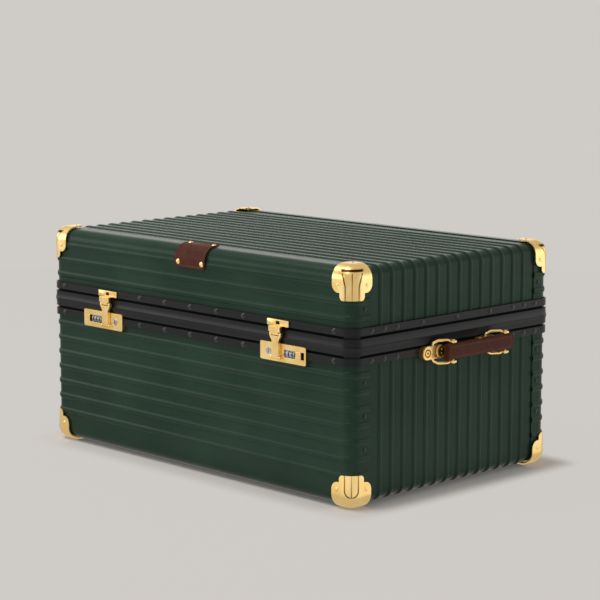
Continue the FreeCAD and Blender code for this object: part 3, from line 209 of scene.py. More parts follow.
# anodised aluminium, bead-blasted and dyed dark green: satin, with a soft grain and no sparkle
greenLook = {"dark": "#1f3529", "light": "#263c2f", "span": (0.35, 0.65), "cloud": 90, "grain": 0.9,
             "bump": {"Strength": 0.05, "Distance": 0.0002}, "roughness": (0.25, 0.32), "gloss": 0.095}
# a darker copy of the green for the seam rivets: painted shade on their domes
seamRivetShadeLook = {**greenLook, "dark": "#0a1510", "light": "#101e17", "gloss": 0.3}


def greenAnodised(name, look):
    material, tree, shader, place = newMaterial(name)
    cloud = addNode(tree, "ShaderNodeTexNoise", {
        "Vector": place, "Scale": patternScale(look["cloud"]), "Detail": 3.0})
    grain = addNode(tree, "ShaderNodeTexNoise", {
        "Vector": place, "Scale": patternScale(look["grain"]), "Detail": 2.0})
    tint = addNode(tree, "ShaderNodeValToRGB", {"Fac": cloud.outputs["Fac"]}, tintStops(look))
    rough = addNode(tree, "ShaderNodeMapRange", {
        "Value": grain.outputs["Fac"], **noiseSpan,
        "To Min": look["roughness"][0], "To Max": look["roughness"][1]})
    bump = addNode(tree, "ShaderNodeBump", {"Height": grain.outputs["Fac"], **look["bump"]})
    setInputs(shader, {
        "Base Color": tint.outputs["Color"], "Roughness": rough.outputs["Result"],
        "Normal": bump.outputs["Normal"], "Specular IOR Level": look["gloss"]})
    return material


# extruded aluminium, anodised black: semi-gloss with die lines that run along the frame
frameLook = {"dark": "#141415", "light": "#1c1c1e", "span": (0.35, 0.7), "dieLine": 0.7, "smudge": 71.4,
             "stretch": (0.01, 0.01, 1.0), "bump": {"Strength": 0.06, "Distance": 0.0002},
             "roughness": (0.27, 0.38), "gloss": 0.20}
rivetLook = {**frameLook, "dark": "#19191a", "light": "#252527", "roughness": (0.26, 0.36), "gloss": 0.4}


def blackExtrusion(name, look):
    material, tree, shader, place = newMaterial(name)
    along = addNode(tree, "ShaderNodeMapping", {"Vector": place, "Scale": look["stretch"]})
    lines = addNode(tree, "ShaderNodeTexNoise", {
        "Vector": along.outputs["Vector"], "Scale": patternScale(look["dieLine"]), "Detail": 2.0})
    smudge = addNode(tree, "ShaderNodeTexNoise", {
        "Vector": place, "Scale": patternScale(look["smudge"]), "Detail": 3.0})
    tint = addNode(tree, "ShaderNodeValToRGB", {"Fac": lines.outputs["Fac"]}, tintStops(look))
    rough = addNode(tree, "ShaderNodeMapRange", {
        "Value": smudge.outputs["Fac"], **noiseSpan,
        "To Min": look["roughness"][0], "To Max": look["roughness"][1]})
    bump = addNode(tree, "ShaderNodeBump", {"Height": lines.outputs["Fac"], **look["bump"]})
    setInputs(shader, {
        "Base Color": tint.outputs["Color"], "Roughness": rough.outputs["Result"],
        "Normal": bump.outputs["Normal"], "Specular IOR Level": look["gloss"]})
    return material


# pressed and polished brass with a thin lacquer: warm mirror, faint handling haze; its dark brown is painted
# shade and painted dark reflection for the caps' folds and the screw heads
brassLook = {"dark": "#f9d07e", "light": "#ffe2a0", "span": (0.3, 0.7), "haze": 22, "detail": 4.0,
             "paintedShade": "#3a210c", "roughness": (0.28, 0.38)}
# nickel-plated steel, turned: bright and neutral
steelLook = {"dark": "#b9b8b5", "light": "#dcdbd8", "span": (0.3, 0.7), "haze": 8.33, "detail": 3.0,
             "roughness": (0.14, 0.26)}
# the same steel, blasted, on the dials: greyer and duller, so that figures stand out
dialLook = {**steelLook, "dark": "#868c91", "light": "#a6abaf", "roughness": (0.32, 0.42)}


def polishedMetal(name, look, folds=()):
    material, tree, shader, place = newMaterial(name)
    haze = addNode(tree, "ShaderNodeTexNoise", {
        "Vector": place, "Scale": patternScale(look["haze"]), "Detail": look["detail"]})
    tint = addNode(tree, "ShaderNodeValToRGB", {"Fac": haze.outputs["Fac"]}, tintStops(look))
    colour = tint.outputs["Color"]
    if folds:  # painted shade and painted dark reflections in the folds and recesses
        paintedShade = hexColour(look["paintedShade"])
        mix = addNode(tree, "ShaderNodeMix", {  # 6, 7 and 2 are its colour sockets
            "Factor": workOut(tree, place, folds), 6: colour, 7: paintedShade}, data_type="RGBA")
        colour = mix.outputs[2]
    rough = addNode(tree, "ShaderNodeMapRange", {
        "Value": haze.outputs["Fac"], **noiseSpan,
        "To Min": look["roughness"][0], "To Max": look["roughness"][1]})
    setInputs(shader, {"Base Color": colour, "Roughness": rough.outputs["Result"], "Metallic": 1.0})
    return material


# folds of the corner caps, measured from a cap's outer corner: the channel down its upright edge, a crease
# down the middle of that, and on the lid the bend under the crown, where painted shade and painted dark
# reflections are laid on the brass; pairs are where a line starts to fade and where it ends
capFoldShade = {
    "base": {"half": 0.008, "start": 0.015, "narrow": 0.023},
    "lid": {"half": 0.008, "start": 0.0095, "narrow": 0.025, "wide": 0.0115, "bend": 0.0068,
            "bendHalf": 0.0125},
    "line": (0.0003, 0.0010), "crease": (0.0002, 0.0009), "bendLine": (0.0010, 0.0019),
    "startEase": 0.0005, "bendEase": 0.001, "fade": (0.014, 0.040, 0.95, 0.45),
}


def capSteps(word):
    look = capFoldShade[word]
    low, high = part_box(f"{word}_corner_cap_front_right")
    startEase = capFoldShade["startEase"]
    steps = [
        ("x", "ABSOLUTE", "x"),
        ("y", "ABSOLUTE", "y"),
        ("across", "SUBTRACT", "x", "y"),
        ("across", "SUBTRACT", "across", high[0] + low[1]),
        ("across", "MULTIPLY", "across", math.sqrt(0.5)),
        ("across", "ABSOLUTE", "across"),
    ]
    if word == "lid":  # channel that narrows on its way down
        steps += [
            ("down", "SUBTRACT", high[2], "z"),
            ("edge", "LINEAR", "down", look["start"], look["narrow"], look["wide"], look["half"]),
            ("wall", "SUBTRACT", "across", "edge"),
        ]
    else:  # channel with a round end below
        steps += [
            ("down", "SUBTRACT", "z", low[2]),
            ("past", "SUBTRACT", look["narrow"], "down"),
            ("past", "MAXIMUM", "past", 0.0),
            ("past", "MULTIPLY", "past", "past"),
            ("reach", "MULTIPLY", "across", "across"),
            ("reach", "ADD", "reach", "past"),
            ("reach", "SQRT", "reach"),
            ("wall", "SUBTRACT", "reach", look["half"]),
        ]
    steps += [
        ("wall", "ABSOLUTE", "wall"),
        ("wall", "LINEAR", "wall", *capFoldShade["line"], *fall),
        ("crease", "LINEAR", "across", *capFoldShade["crease"], *fall),
        ("inside", "LINEAR", "down", look["start"] - startEase, look["start"] + startEase, *rise),
        ("fade", "LINEAR", "down", *capFoldShade["fade"]),
        ("mask", "MAXIMUM", "wall", "crease"),
        ("mask", "MULTIPLY", "mask", "inside"),
        ("mask", "MULTIPLY", "mask", "fade"),
    ]
    if word == "lid":
        bendHalf, bendEase = look["bendHalf"], capFoldShade["bendEase"]
        steps += [
            ("bend", "SUBTRACT", "down", look["bend"]),
            ("bend", "ABSOLUTE", "bend"),
            ("bend", "LINEAR", "bend", *capFoldShade["bendLine"], *fall),
            ("ends", "LINEAR", "across", bendHalf - bendEase, bendHalf + bendEase, *fall),
            ("bend", "MULTIPLY", "bend", "ends"),
            ("mask", "MAXIMUM", "mask", "bend"),
        ]
    return steps


# screw heads of the handles: painted shade under the rim of each head and in its middle
screwRimShade = {"radius": 0.0049, "offset": 0.0118, "rim": (0.0032, 0.0038), "rimEnd": (0.0047, 0.0049),
              "middle": (0.0010, 0.0016)}


def screwSteps():
    low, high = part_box("handle_screws")
    offset = screwRimShade["offset"]
    return [
        ("y", "ABSOLUTE", "y"),
        ("y", "SUBTRACT", "y", high[1] - screwRimShade["radius"] - offset),  # onto one end of a handle
        ("y", "ABSOLUTE", "y"),
        ("y", "SUBTRACT", "y", offset),  # onto one screw
        ("y", "MULTIPLY", "y", "y"),
        ("z", "SUBTRACT", "z", (low[2] + high[2]) / 2),
        ("z", "MULTIPLY", "z", "z"),
        ("reach", "ADD", "y", "z"),
        ("reach", "SQRT", "reach"),
        ("rim", "LINEAR", "reach", *screwRimShade["rim"], *rise),
        ("rimEnd", "LINEAR", "reach", *screwRimShade["rimEnd"], *fall),
        ("rim", "MULTIPLY", "rim", "rimEnd"),
        ("middle", "LINEAR", "reach", *screwRimShade["middle"], *fall),
        ("mask", "MAXIMUM", "rim", "middle"),
    ]


# vegetable-tanned cowhide, dyed brown: fine pebbled grain, darker in its creases
leatherLook = {"dark": "#3d1b10", "light": "#54281a", "span": (0.3, 0.72), "pebble": 1.1, "crease": 9.0,
               "bump": {"Strength": 0.25, "Distance": 0.0003}, "roughness": (0.42, 0.60), "gloss": 0.11}


def brownLeather():
    material, tree, shader, place = newMaterial("brown_cowhide")
    pebble = addNode(tree, "ShaderNodeTexVoronoi", {
        "Vector": place, "Scale": patternScale(leatherLook["pebble"])}, feature="DISTANCE_TO_EDGE")
    crease = addNode(tree, "ShaderNodeTexNoise", {
        "Vector": place, "Scale": patternScale(leatherLook["crease"]), "Detail": 5.0, "Roughness": 0.6})
    tint = addNode(tree, "ShaderNodeValToRGB", {"Fac": crease.outputs["Fac"]}, tintStops(leatherLook))
    relief = addNode(tree, "ShaderNodeMath", {
        0: pebble.outputs["Distance"], 1: crease.outputs["Fac"]}, operation="ADD")
    bump = addNode(tree, "ShaderNodeBump", {"Height": relief.outputs["Value"], **leatherLook["bump"]})
    rough = addNode(tree, "ShaderNodeMapRange", {
        "Value": crease.outputs["Fac"], **noiseSpan,
        "To Min": leatherLook["roughness"][0], "To Max": leatherLook["roughness"][1]})
    setInputs(shader, {
        "Base Color": tint.outputs["Color"], "Roughness": rough.outputs["Result"],
        "Normal": bump.outputs["Normal"], "Specular IOR Level": leatherLook["gloss"]})
    return material


# woven polyester twill glued to board: dull, with slanting lines; its thread is drawn at 1.5 mm to show
clothLook = {"dark": "#2b2a29", "light": "#3d3b38", "span": (0.1, 0.6), "thread": 1.5, "lineThreads": 3,
             "waver": 0.4, "bump": {"Strength": 0.3, "Distance": 0.0004}, "roughness": 0.9, "sheen": 0.2}


def liningCloth():
    material, tree, shader, place = newMaterial("woven_lining_twill")
    scale = patternScale(2 * clothLook["thread"])
    warp = addNode(tree, "ShaderNodeTexWave", {
        "Vector": place, "Scale": scale / clothLook["lineThreads"], "Distortion": clothLook["waver"],
    }, bands_direction="DIAGONAL")
    fleck = addNode(tree, "ShaderNodeTexNoise", {"Vector": place, "Scale": scale})
    blend = addNode(tree, "ShaderNodeMath", {
        0: warp.outputs["Fac"], 1: fleck.outputs["Fac"]}, operation="MULTIPLY")
    tint = addNode(tree, "ShaderNodeValToRGB", {"Fac": blend.outputs["Value"]}, tintStops(clothLook))
    bump = addNode(tree, "ShaderNodeBump", {"Height": blend.outputs["Value"], **clothLook["bump"]})
    setInputs(shader, {
        "Base Color": tint.outputs["Color"], "Normal": bump.outputs["Normal"],
        "Roughness": clothLook["roughness"], "Sheen Weight": clothLook["sheen"]})
    return material


# waxed linen thread: matt and a little lighter than the hide
threadLook = {"dark": "#5a3a2c", "light": "#70503f", "span": (0.35, 0.65), "fleck": 0.5556, "detail": 2.0,
              "roughness": 0.8, "gloss": 0.5}
# moulded rubber: matt black with a slight bloom
rubberLook = {"dark": "#161616", "light": "#222222", "span": (0.3, 0.7), "fleck": 16.667, "detail": 3.0,
              "roughness": 0.75, "gloss": 0.5}
# floors of the frames' grooves, anodised black: matt, and darker than the ribs beside them, which is painted
# shade in the grooves
grooveShadeLook = {"dark": "#050505", "light": "#0b0b0b", "span": (0.3, 0.7), "fleck": 1.1111, "detail": 2.0,
              "roughness": 0.85, "gloss": 0.08}
# printing ink on the dials: flat near-black
inkLook = {"dark": "#0d0d0d", "light": "#191919", "span": (0.3, 0.7), "fleck": 0.4, "detail": 2.0,
           "roughness": 0.6, "gloss": 0.5}


def mattFinish(name, look):
    material, tree, shader, place = newMaterial(name)
    fleck = addNode(tree, "ShaderNodeTexNoise", {
        "Vector": place, "Scale": patternScale(look["fleck"]), "Detail": look["detail"]})
    tint = addNode(tree, "ShaderNodeValToRGB", {"Fac": fleck.outputs["Fac"]}, tintStops(look))
    setInputs(shader, {
        "Base Color": tint.outputs["Color"], "Roughness": look["roughness"],
        "Specular IOR Level": look["gloss"]})
    return material


# the caps and the screw heads carry painted shade and painted dark reflections in their folds and rims
capBrass = {word: polishedMetal(f"pressed_brass_{word}_cap", brassLook, capSteps(word))
            for word in ("base", "lid")}
screwBrass = polishedMetal("brass_screw_head", brassLook, screwSteps())
seamGreenShaded = greenAnodised("green_anodised_rivet_painted_shade", seamRivetShadeLook)
groove = mattFinish("matt_black_groove_painted_shade", grooveShadeLook)
leather = brownLeather()
thread = mattFinish("waxed_linen_thread", threadLook)
cloth = liningCloth()
ink = mattFinish("black_dial_ink", inkLook)
slotMaterials = {
    "green_aluminium": greenAnodised("green_anodised_aluminium", greenLook),
    "black_frame": blackExtrusion("black_anodised_extrusion", frameLook),
    "black_rivet": blackExtrusion("black_anodised_rivet", rivetLook),
    "gold_brass": polishedMetal("polished_brass", brassLook),
    "bright_steel": polishedMetal("nickel_plated_steel", steelLook),
    "dial_metal": polishedMetal("blasted_nickel_steel", dialLook),
    "seal_rubber": mattFinish("moulded_rubber", rubberLook),
}
print("materials made")


# metal pieces and the seal: the CAD shape with smooth shading; pressed fittings get a small broken edge, and
# faces of the frames at a groove's height above or below the parting get the groove's painted shade; angles
# in degrees
metalFinish = {"smooth": 22, "flat": 0.5, "edge": 0.00028, "edgeSegments": 2, "edgeAngle": 50,
               "grooveHeight": (0.0094, 0.0128), "grooveDepth": (-0.0008, 0.0015)}
softNodes = ("badge_tab", "left_handle_grip", "right_handle_grip", "base_lining", "lid_lining")
brokenEdges = ("latch_plate", "latch_keeper", "latch_lever", "latch_hook", "latch_button", "key_barrel")
panelReach = (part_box("base_front_panel")[1][0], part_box("base_back_panel")[1][1])
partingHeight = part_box("lid_frame")[0][2]


def metalFor(name):
    if "corner_cap" in name:
        return capBrass[name.split("_")[0]]
    if name == "handle_screws":
        return screwBrass
    # seam rivets take the darker green, painted shade
    if name.endswith("seam_rivets"):
        return seamGreenShaded
    return slotMaterials[slotOf[name]]


def inGroove(spot):
    lowest, highest = metalFinish["grooveHeight"]
    deepest, mouth = metalFinish["grooveDepth"]
    depth = max(abs(spot.x) - panelReach[0], abs(spot.y) - panelReach[1])
    return deepest < depth < mouth and lowest < abs(spot.z - partingHeight) < highest


def finishNode(name):
    piece = mergedCopy(name, name + "_finished")
    if name.endswith(brokenEdges):
        bpy.ops.object.mode_set(mode="EDIT")
        bpy.ops.mesh.dissolve_limited(angle_limit=math.radians(metalFinish["flat"]))
        bpy.ops.object.mode_set(mode="OBJECT")
        applyModifier(piece, "BEVEL", width=metalFinish["edge"], segments=metalFinish["edgeSegments"],
                      limit_method="ANGLE", angle_limit=math.radians(metalFinish["edgeAngle"]))
    smoothByAngle(piece, metalFinish["smooth"])
    giveMaterial(piece, metalFor(name))
    if name in ("base_frame", "lid_frame"):
        # faces in a groove get the near-black painted shade
        piece.data.materials.append(groove)
        for face in piece.data.polygons:
            if inGroove(face.center):
                face.material_index = 1
    standFor(piece, name)


for name in sorted(nodes):
    if name not in softNodes:
        finishNode(name)
print("metal finished")


# hand stitches: one small bevelled bar, copied along a row of (place, way, out)
stitchLook = {"long": 0.0024, "wide": 0.0008, "high": 0.0007, "round": 0.00025, "segments": 2, "smooth": 40}


def sewRow(spots, name, body):
    bpy.ops.object.select_all(action="DESELECT")
    size = (stitchLook["long"], stitchLook["wide"], stitchLook["high"])
    bpy.ops.mesh.primitive_cube_add(size=1, scale=size)
    first = bpy.context.object
    bakePlace(first)
    applyModifier(first, "BEVEL", width=stitchLook["round"], segments=stitchLook["segments"],
                  limit_method="NONE")
    copies = []
    for spot, way, out in spots:
        copy = bpy.data.objects.new(name, first.data.copy())
        bpy.context.scene.collection.objects.link(copy)
        side = out.cross(way)
        turn = Matrix((way, side, out)).transposed().to_4x4()
        copy.data.transform(Matrix.Translation(spot) @ turn)
        copies.append(copy)
    bpy.data.objects.remove(first)
    row = joinPieces(copies, name)
    smoothByAngle(row, stitchLook["smooth"])
    giveMaterial(row, thread)
    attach(row, body)


def stitchSteps(length, pitch):  # middles of the stitches that fit, measured from the middle of the row
    count = int(length / pitch)
    return [(index + 0.5 - count / 2) * pitch for index in range(count)]


def seamDistance(across, up, halfLong, halfHigh):  # how far a point is from the seam's rectangle
    x = abs(across) - halfLong
    y = abs(up) - halfHigh
    outside = math.hypot(max(x, 0), max(y, 0))
    return outside + min(max(x, y), 0)


# leather grips: a wrapped and sewn pad, crowned on both faces, with a sunk seam round each
gripLook = {"round": 0.0034, "roundSegments": 5, "endRound": 0.0013, "endSegments": 3, "endReach": 0.0001,
            "level": 1e-6, "slices": 88, "rows": 11, "crown": 0.0008, "crownEnd": 6, "crownEdge": 3,
            "pull": 0.0005, "seamIn": 0.0042, "seamDeep": 0.0005, "seamWide": 0.0009,
            "stitchPitch": 0.0034, "stitchLift": 0.0001, "smooth": 50}


def gripCrown(place, half):  # swell of a face: highest along the middle, nothing at the rim
    u = place.y / half.y
    v = place.z / half.z
    return gripLook["crown"] * (1 - v * v) * (1 - u ** gripLook["crownEnd"])


def makeGrip(word):
    name = word + "_handle_grip"
    low, high = (Vector(corner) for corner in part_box(name))
    middle = (low + high) / 2
    half = (high - low) / 2
    flatHalf = half.x - gripLook["crown"]
    bpy.ops.object.select_all(action="DESELECT")
    bpy.ops.mesh.primitive_cube_add(size=2, location=middle, scale=(flatHalf, half.y, half.z))
    piece = bpy.context.object
    piece.name = word + "_leather_grip"
    bakePlace(piece)
    pickEdges(piece, runsAlong(1))
    bpy.ops.mesh.bevel(offset=gripLook["round"], segments=gripLook["roundSegments"], affect="EDGES")
    bpy.ops.object.mode_set(mode="OBJECT")
    atEnd = half.y - gripLook["endReach"]

    def roundAnEnd(first, last):
        nearest = min(abs(first.y - middle.y), abs(last.y - middle.y))
        return nearest > atEnd and abs(first.y - last.y) < gripLook["level"]

    pickEdges(piece, roundAnEnd)
    bpy.ops.mesh.bevel(offset=gripLook["endRound"], segments=gripLook["endSegments"], affect="EDGES")
    bpy.ops.object.mode_set(mode="OBJECT")
    pickEdges(piece, lambda first, last: abs(first.y - last.y) > half.y)
    bpy.ops.mesh.subdivide(number_cuts=gripLook["slices"])
    bpy.ops.object.mode_set(mode="OBJECT")
    flat = half.z - gripLook["round"]
    pickEdges(piece, lambda first, last: runsAlong(2)(first, last) and abs(first.z - last.z) > flat)
    bpy.ops.mesh.subdivide(number_cuts=gripLook["rows"])
    bpy.ops.object.mode_set(mode="OBJECT")
    applyModifier(piece, "SUBSURF", levels=1, render_levels=1)
    seamLong = half.y - gripLook["seamIn"]
    seamHigh = half.z - gripLook["seamIn"]
    for point in piece.data.vertices:
        place = point.co - middle
        u = place.y / half.y
        v = place.z / half.z
        face = place.x / flatHalf
        gap = seamDistance(place.y, place.z, seamLong, seamHigh)
        sunk = gripLook["seamDeep"] * math.exp(-(gap / gripLook["seamWide"]) ** 2)
        share = math.copysign(abs(face) ** gripLook["crownEdge"], face)
        point.co.x += share * (gripCrown(place, half) - sunk)
        point.co.z -= gripLook["pull"] * v * (1 - u * u)
    smoothByAngle(piece, gripLook["smooth"])
    giveMaterial(piece, leather)
    standFor(piece, name)
    sewRow(gripSpots(middle, half, seamLong, seamHigh), word + "_grip_stitching", nodes[name]["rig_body"])


def gripSpots(middle, half, seamLong, seamHigh):  # stitches along the four sides of the seam, on both faces
    lift = gripLook["stitchLift"] - gripLook["seamDeep"] - gripLook["crown"]
    spots = []
    for face in (-1, 1):
        for along, across, reach, fixed in ((1, 2, seamLong, seamHigh), (2, 1, seamHigh, seamLong)):
            way = Vector((0, 1, 0)) if along == 1 else Vector((0, 0, 1))
            for side in (-1, 1):
                for step in stitchSteps(2 * reach, gripLook["stitchPitch"]):
                    place = Vector((0, 0, 0))
                    place[along] = step
                    place[across] = side * fixed
                    place.x = face * (half.x + gripCrown(place, half) + lift)
                    spots.append((middle + place, way, Vector((face, 0, 0))))
    return spots


for word in ("left", "right"):
    makeGrip(word)
print("leather grips sewn")


# leather tab: a strap bent over the lid's front edge, sewn round its rim, its back corner lifting a little
tabLook = {"thick": 0.0018, "bend": 0.0178, "corner": 0.006, "across": 36, "along": 44, "lift": 0.0022,
           "liftRun": 0.009, "creaseIn": 0.0026, "creaseDeep": 0.0003, "creaseWide": 0.0007,
           "stitchPitch": 0.0034, "edge": 0.0004, "edgeSegments": 2, "edgeAngle": 60, "smooth": 45}


def makeTab():
    low, high = (Vector(corner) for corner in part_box("badge_tab"))
    bend = tabLook["bend"]
    front = high.z - bend - low.z
    arc = bend * math.pi / 2
    length = front + arc + high.y - low.y - bend
    half = (high.x - low.x) / 2

    def onTab(u, t):  # place and outward way for a point across u and t up from the lower end
        if t < front:
            return Vector((u, low.y, low.z + t)), Vector((0, -1, 0))
        if t < front + arc:
            turn = (t - front) / bend
            out = Vector((0, -math.cos(turn), math.sin(turn)))
            return Vector((u, low.y + bend, high.z - bend)) + out * bend, out
        past = max(0, t - (length - tabLook["liftRun"])) / tabLook["liftRun"]
        lifted = tabLook["lift"] * past * past * (half + u) / (2 * half)
        return Vector((u, low.y + bend + t - front - arc, high.z + lifted)), Vector((0, 0, 1))

    bpy.ops.object.select_all(action="DESELECT")
    bpy.ops.mesh.primitive_grid_add(
        x_subdivisions=tabLook["across"], y_subdivisions=tabLook["along"], size=2)
    piece = bpy.context.object
    piece.name = "leather_tab"
    corner = tabLook["corner"]
    inset = tabLook["creaseIn"]
    for point in piece.data.vertices:
        u = point.co.x * half
        t = point.co.y * length / 2
        a = (abs(u) - half + corner) / corner
        b = (abs(t) - length / 2 + corner) / corner
        if a > 0 and b > 0:  # square corner drawn in to a round one
            u = math.copysign(half - corner + corner * a * math.sqrt(1 - b * b / 2), u)
            t = math.copysign(length / 2 - corner + corner * b * math.sqrt(1 - a * a / 2), t)
        gap = seamDistance(t, u, length / 2 - inset, half - inset)
        place, out = onTab(u, t + length / 2)
        point.co = place - out * tabLook["creaseDeep"] * math.exp(-(gap / tabLook["creaseWide"]) ** 2)
    applyModifier(piece, "SUBSURF", levels=1, render_levels=1)
    selectOnly(piece)
    bpy.ops.object.mode_set(mode="EDIT")
    bpy.ops.mesh.select_all(action="SELECT")
    bpy.ops.mesh.normals_make_consistent(inside=False)
    bpy.ops.object.mode_set(mode="OBJECT")
    if piece.data.polygons[0].normal.y > 0:  # an open sheet can come out facing either way
        bpy.ops.object.mode_set(mode="EDIT")
        bpy.ops.mesh.flip_normals()
        bpy.ops.object.mode_set(mode="OBJECT")
    applyModifier(piece, "SOLIDIFY", thickness=tabLook["thick"], offset=-1)
    applyModifier(piece, "BEVEL", width=tabLook["edge"], segments=tabLook["edgeSegments"],
                  limit_method="ANGLE", angle_limit=math.radians(tabLook["edgeAngle"]))
    smoothByAngle(piece, tabLook["smooth"])
    giveMaterial(piece, leather)
    standFor(piece, "badge_tab")
    spots = []
    pitch = tabLook["stitchPitch"]
    clear = 2 * inset  # a row of stitches stops this far from both ends
    for side in (-1, 1):
        for step in stitchSteps(length - 2 * clear, pitch):
            place, out = onTab(side * (half - inset), length / 2 + step)
            spots.append((place, Vector((1, 0, 0)).cross(out), out))
        for step in stitchSteps(2 * half - 2 * clear, pitch):
            place, out = onTab(step, inset if side < 0 else length - inset)
            spots.append((place, Vector((1, 0, 0)), out))
    sewRow(spots, "tab_stitching", nodes["badge_tab"]["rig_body"])


makeTab()
print("leather tab sewn")


# linings: cloth glued to shaped board, with a piped edge
liningLook = {"wall": 0.0025, "smooth": 40, "pipe": 0.0013, "pipeDown": 0.004, "pipeCorner": 0.0074,
              "cornerSegments": 6, "pipeSegments": 3, "pipeSmooth": 50}


def makeLining(word, up):
    name = word + "_lining"
    piece = mergedCopy(name, word + "_cloth_lining")
    smoothByAngle(piece, liningLook["smooth"])
    giveMaterial(piece, cloth)
    standFor(piece, name)
    low, high = (Vector(corner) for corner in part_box(name))
    level = high.z - liningLook["pipeDown"] if up > 0 else low.z + liningLook["pipeDown"]
    bpy.ops.object.select_all(action="DESELECT")
    bpy.ops.mesh.primitive_plane_add(size=2, location=(0, 0, level))
    pipe = bpy.context.object
    pipe.name = word + "_lining_piping"
    pipe.scale = (high.x - liningLook["wall"], high.y - liningLook["wall"], 1)
    bakePlace(pipe)
    bpy.ops.object.mode_set(mode="EDIT")
    bpy.ops.mesh.select_all(action="SELECT")
    bpy.ops.mesh.bevel(
        offset=liningLook["pipeCorner"], segments=liningLook["cornerSegments"], affect="VERTICES")
    bpy.ops.mesh.delete(type="ONLY_FACE")
    bpy.ops.object.mode_set(mode="OBJECT")
    bpy.ops.object.convert(target="CURVE")
    pipe.data.bevel_depth = liningLook["pipe"]
    pipe.data.bevel_resolution = liningLook["pipeSegments"]
    bpy.ops.object.convert(target="MESH")
    smoothByAngle(pipe, liningLook["pipeSmooth"])
    giveMaterial(pipe, cloth)
    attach(pipe, nodes[name]["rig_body"])


makeLining("base", 1)
makeLining("lid", -1)
print("linings laid")


# number wheels: figures 0 to 9 wrapped on each rim, two rows facing the front at rest; angles in degrees,
# and typeSize is the type's size for one unit of figure height
figureLook = {"high": 0.0031, "typeSize": 1.45, "bold": 0.00022, "thick": 0.00012, "stand": 0.00003,
              "merge": 0.000001, "first": 18, "step": 36}


def makeFigures(word, number):
    name = f"{word}_latch_dial_{number}"
    low, high = (Vector(corner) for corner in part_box(name))
    axis = (low + high) / 2
    rim = (high.z - low.z) / 2
    figures = []
    for figure in range(10):
        bpy.ops.object.select_all(action="DESELECT")
        bpy.ops.object.text_add()
        piece = bpy.context.object
        piece.data.body = str(figure)
        piece.data.size = figureLook["high"] * figureLook["typeSize"]
        piece.data.align_x = "CENTER"
        piece.data.align_y = "CENTER"
        piece.data.extrude = figureLook["thick"]
        piece.data.offset = figureLook["bold"]
        bpy.ops.object.convert(target="MESH")
        bpy.ops.object.mode_set(mode="EDIT")
        bpy.ops.mesh.select_all(action="SELECT")
        bpy.ops.mesh.remove_doubles(threshold=figureLook["merge"])
        bpy.ops.mesh.subdivide(number_cuts=1)
        bpy.ops.object.mode_set(mode="OBJECT")
        start = math.radians(figureLook["first"] + figureLook["step"] * figure)
        for point in piece.data.vertices:
            turn = start + point.co.y / rim
            reach = rim + figureLook["stand"] + point.co.z
            point.co = axis + Vector((point.co.x, -reach * math.cos(turn), reach * math.sin(turn)))
        figures.append(piece)
    wheel = joinPieces(figures, f"{word}_dial_{number}_figures")
    bakePlace(wheel)
    giveMaterial(wheel, ink)
    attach(wheel, nodes[name]["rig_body"])


for word in ("left", "right"):
    for number in (1, 2, 3):
        makeFigures(word, number)
print("figures on the dials")


# stage: pale paper floor that runs into the backdrop, an even sky, four soft boxes and two bounce cards
# evenNear: how far from the case its shadow fades, and how far the paper is evened out there, least and most
stage = {"backdrop": "#cfcbc6", "floorReach": 60, "floorDrop": 0.0002, "sky": 0.36,
         "evenNear": (0.040, 0.12, 0.96), "evenFar": 1.5, "aim": (0, 0, 0.15)}
softBoxes = (  # level is the brightness of its face, where 1 is white
    {"name": "top_soft_box", "place": (-0.45, -0.95, 2.1), "size": (2.0, 0.9), "level": 5.2},
    {"name": "left_soft_box", "place": (-0.95, -1.00, 0.47), "size": (1.7, 0.46), "level": 2.0},
    {"name": "right_soft_box", "place": (1.05, 0.95, 0.36), "size": (1.7, 0.7), "level": 0.95},
    {"name": "back_soft_box", "place": (-1.25, 1.22, 0.66), "size": (1.9, 0.8), "level": 0.55},
    {"name": "front_bounce", "place": (0.30, -0.48, 0.003), "size": (0.9, 0.5), "level": 0.48,
     "aim": (0.30, -0.48, 1)},
    {"name": "end_bounce", "place": (0.65, 0.20, 0.003), "size": (0.7, 0.8), "level": 0.38,
     "aim": (0.65, 0.20, 1)},
)


def seenDirectly(tree):  # 1 where the camera or a reflection looks, 0 for the light that falls on things
    path = addNode(tree, "ShaderNodeLightPath").outputs
    seen = path["Is Camera Ray"]
    for kind in ("Is Glossy Ray", "Is Transmission Ray"):
        either = addNode(tree, "ShaderNodeMath", {0: seen, 1: path[kind]}, operation="MAXIMUM")
        seen = either.outputs["Value"]
    return seen


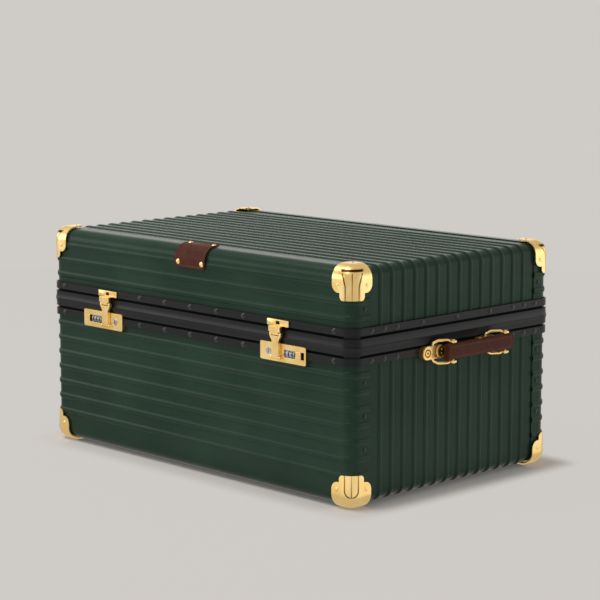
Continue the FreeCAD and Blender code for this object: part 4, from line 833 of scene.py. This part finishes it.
def makeFloor():
    bpy.ops.object.select_all(action="DESELECT")
    bpy.ops.mesh.primitive_plane_add(size=stage["floorReach"], location=(0, 0, -stage["floorDrop"]))
    floor = bpy.context.object
    floor.name = "studio_floor"
    material, tree, shader, place = newMaterial("studio_paper")
    paper = hexColour(stage["backdrop"])
    setInputs(shader, {"Base Color": paper, "Roughness": 1.0, "Specular IOR Level": 0.0})
    mirrored = addNode(tree, "ShaderNodeLightPath").outputs["Is Glossy Ray"]
    footX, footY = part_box("base_frame")[1][:2]
    fade, least, most = stage["evenNear"]
    share = workOut(tree, place, [
        ("x", "ABSOLUTE", "x"),
        ("x", "SUBTRACT", "x", footX),
        ("x", "MAXIMUM", "x", 0.0),
        ("x", "MULTIPLY", "x", "x"),
        ("y", "ABSOLUTE", "y"),
        ("y", "SUBTRACT", "y", footY),
        ("y", "MAXIMUM", "y", 0.0),
        ("y", "MULTIPLY", "y", "y"),
        ("reach", "ADD", "x", "y"),
        ("reach", "SQRT", "reach"),
        ("near", "SMOOTHSTEP", "reach", 0.0, fade, least, most),  # less so beside the case, in its shadow
        ("far", "LINEAR", "reach", 0.0, stage["evenFar"], *rise),  # fully where it runs into the backdrop
        ("even", "MAXIMUM", "near", "far"),
        ("even", "MAXIMUM", "even", mirrored),  # metal shows the open paper
        ("share", "MULTIPLY", seenDirectly(tree), "even"),
    ])
    glow = addNode(tree, "ShaderNodeEmission", {"Color": paper, "Strength": 1.0})
    mix = addNode(tree, "ShaderNodeMixShader", {0: share, 1: shader.outputs[0], 2: glow.outputs[0]})
    setInputs(tree.nodes["Material Output"], {"Surface": mix.outputs[0]})
    giveMaterial(floor, material)


def makeSky():
    world = bpy.data.worlds.new("studio")
    bpy.context.scene.world = world
    world.use_nodes = True
    tree = world.node_tree
    sky = tree.nodes["Background"]
    setInputs(sky, {"Color": (1, 1, 1, 1), "Strength": stage["sky"]})
    backdrop = addNode(tree, "ShaderNodeBackground", {"Color": hexColour(stage["backdrop"]), "Strength": 1.0})
    mix = addNode(tree, "ShaderNodeMixShader", {
        0: seenDirectly(tree), 1: sky.outputs[0], 2: backdrop.outputs[0]})
    setInputs(tree.nodes["World Output"], {"Surface": mix.outputs[0]})


def makeSoftBox(box):
    lamp = bpy.data.lights.new(box["name"], "AREA")
    lamp.shape = "RECTANGLE"
    lamp.size, lamp.size_y = box["size"]
    lamp.energy = box["level"] * math.pi * box["size"][0] * box["size"][1]
    obj = bpy.data.objects.new(box["name"], lamp)
    bpy.context.scene.collection.objects.link(obj)
    obj.location = box["place"]
    aim = Vector(box.get("aim", stage["aim"])) - obj.location
    obj.rotation_euler = aim.to_track_quat("-Z", "Y").to_euler()
    obj.visible_camera = False


# camera at the photograph's viewing angle; angles in degrees, lens and sensor in millimetres
camera = {"place": (1.8418, -1.7880, 0.5919), "yaw": 45.69, "tilt": 8.79, "lens": 122.26, "sensor": 36,
          "far": 100}


def makeCamera():
    data = bpy.data.cameras.new("camera")
    data.lens = camera["lens"]
    data.sensor_width = camera["sensor"]
    data.clip_end = camera["far"]
    obj = bpy.data.objects.new("camera", data)
    bpy.context.scene.collection.objects.link(obj)
    obj.location = camera["place"]
    obj.rotation_euler = (math.radians(90 - camera["tilt"]), 0, math.radians(camera["yaw"]))
    bpy.context.scene.camera = obj


makeFloor()
makeSky()
for box in softBoxes:
    makeSoftBox(box)
makeCamera()
bpy.context.scene.view_settings.view_transform = "Standard"
print("stage set")
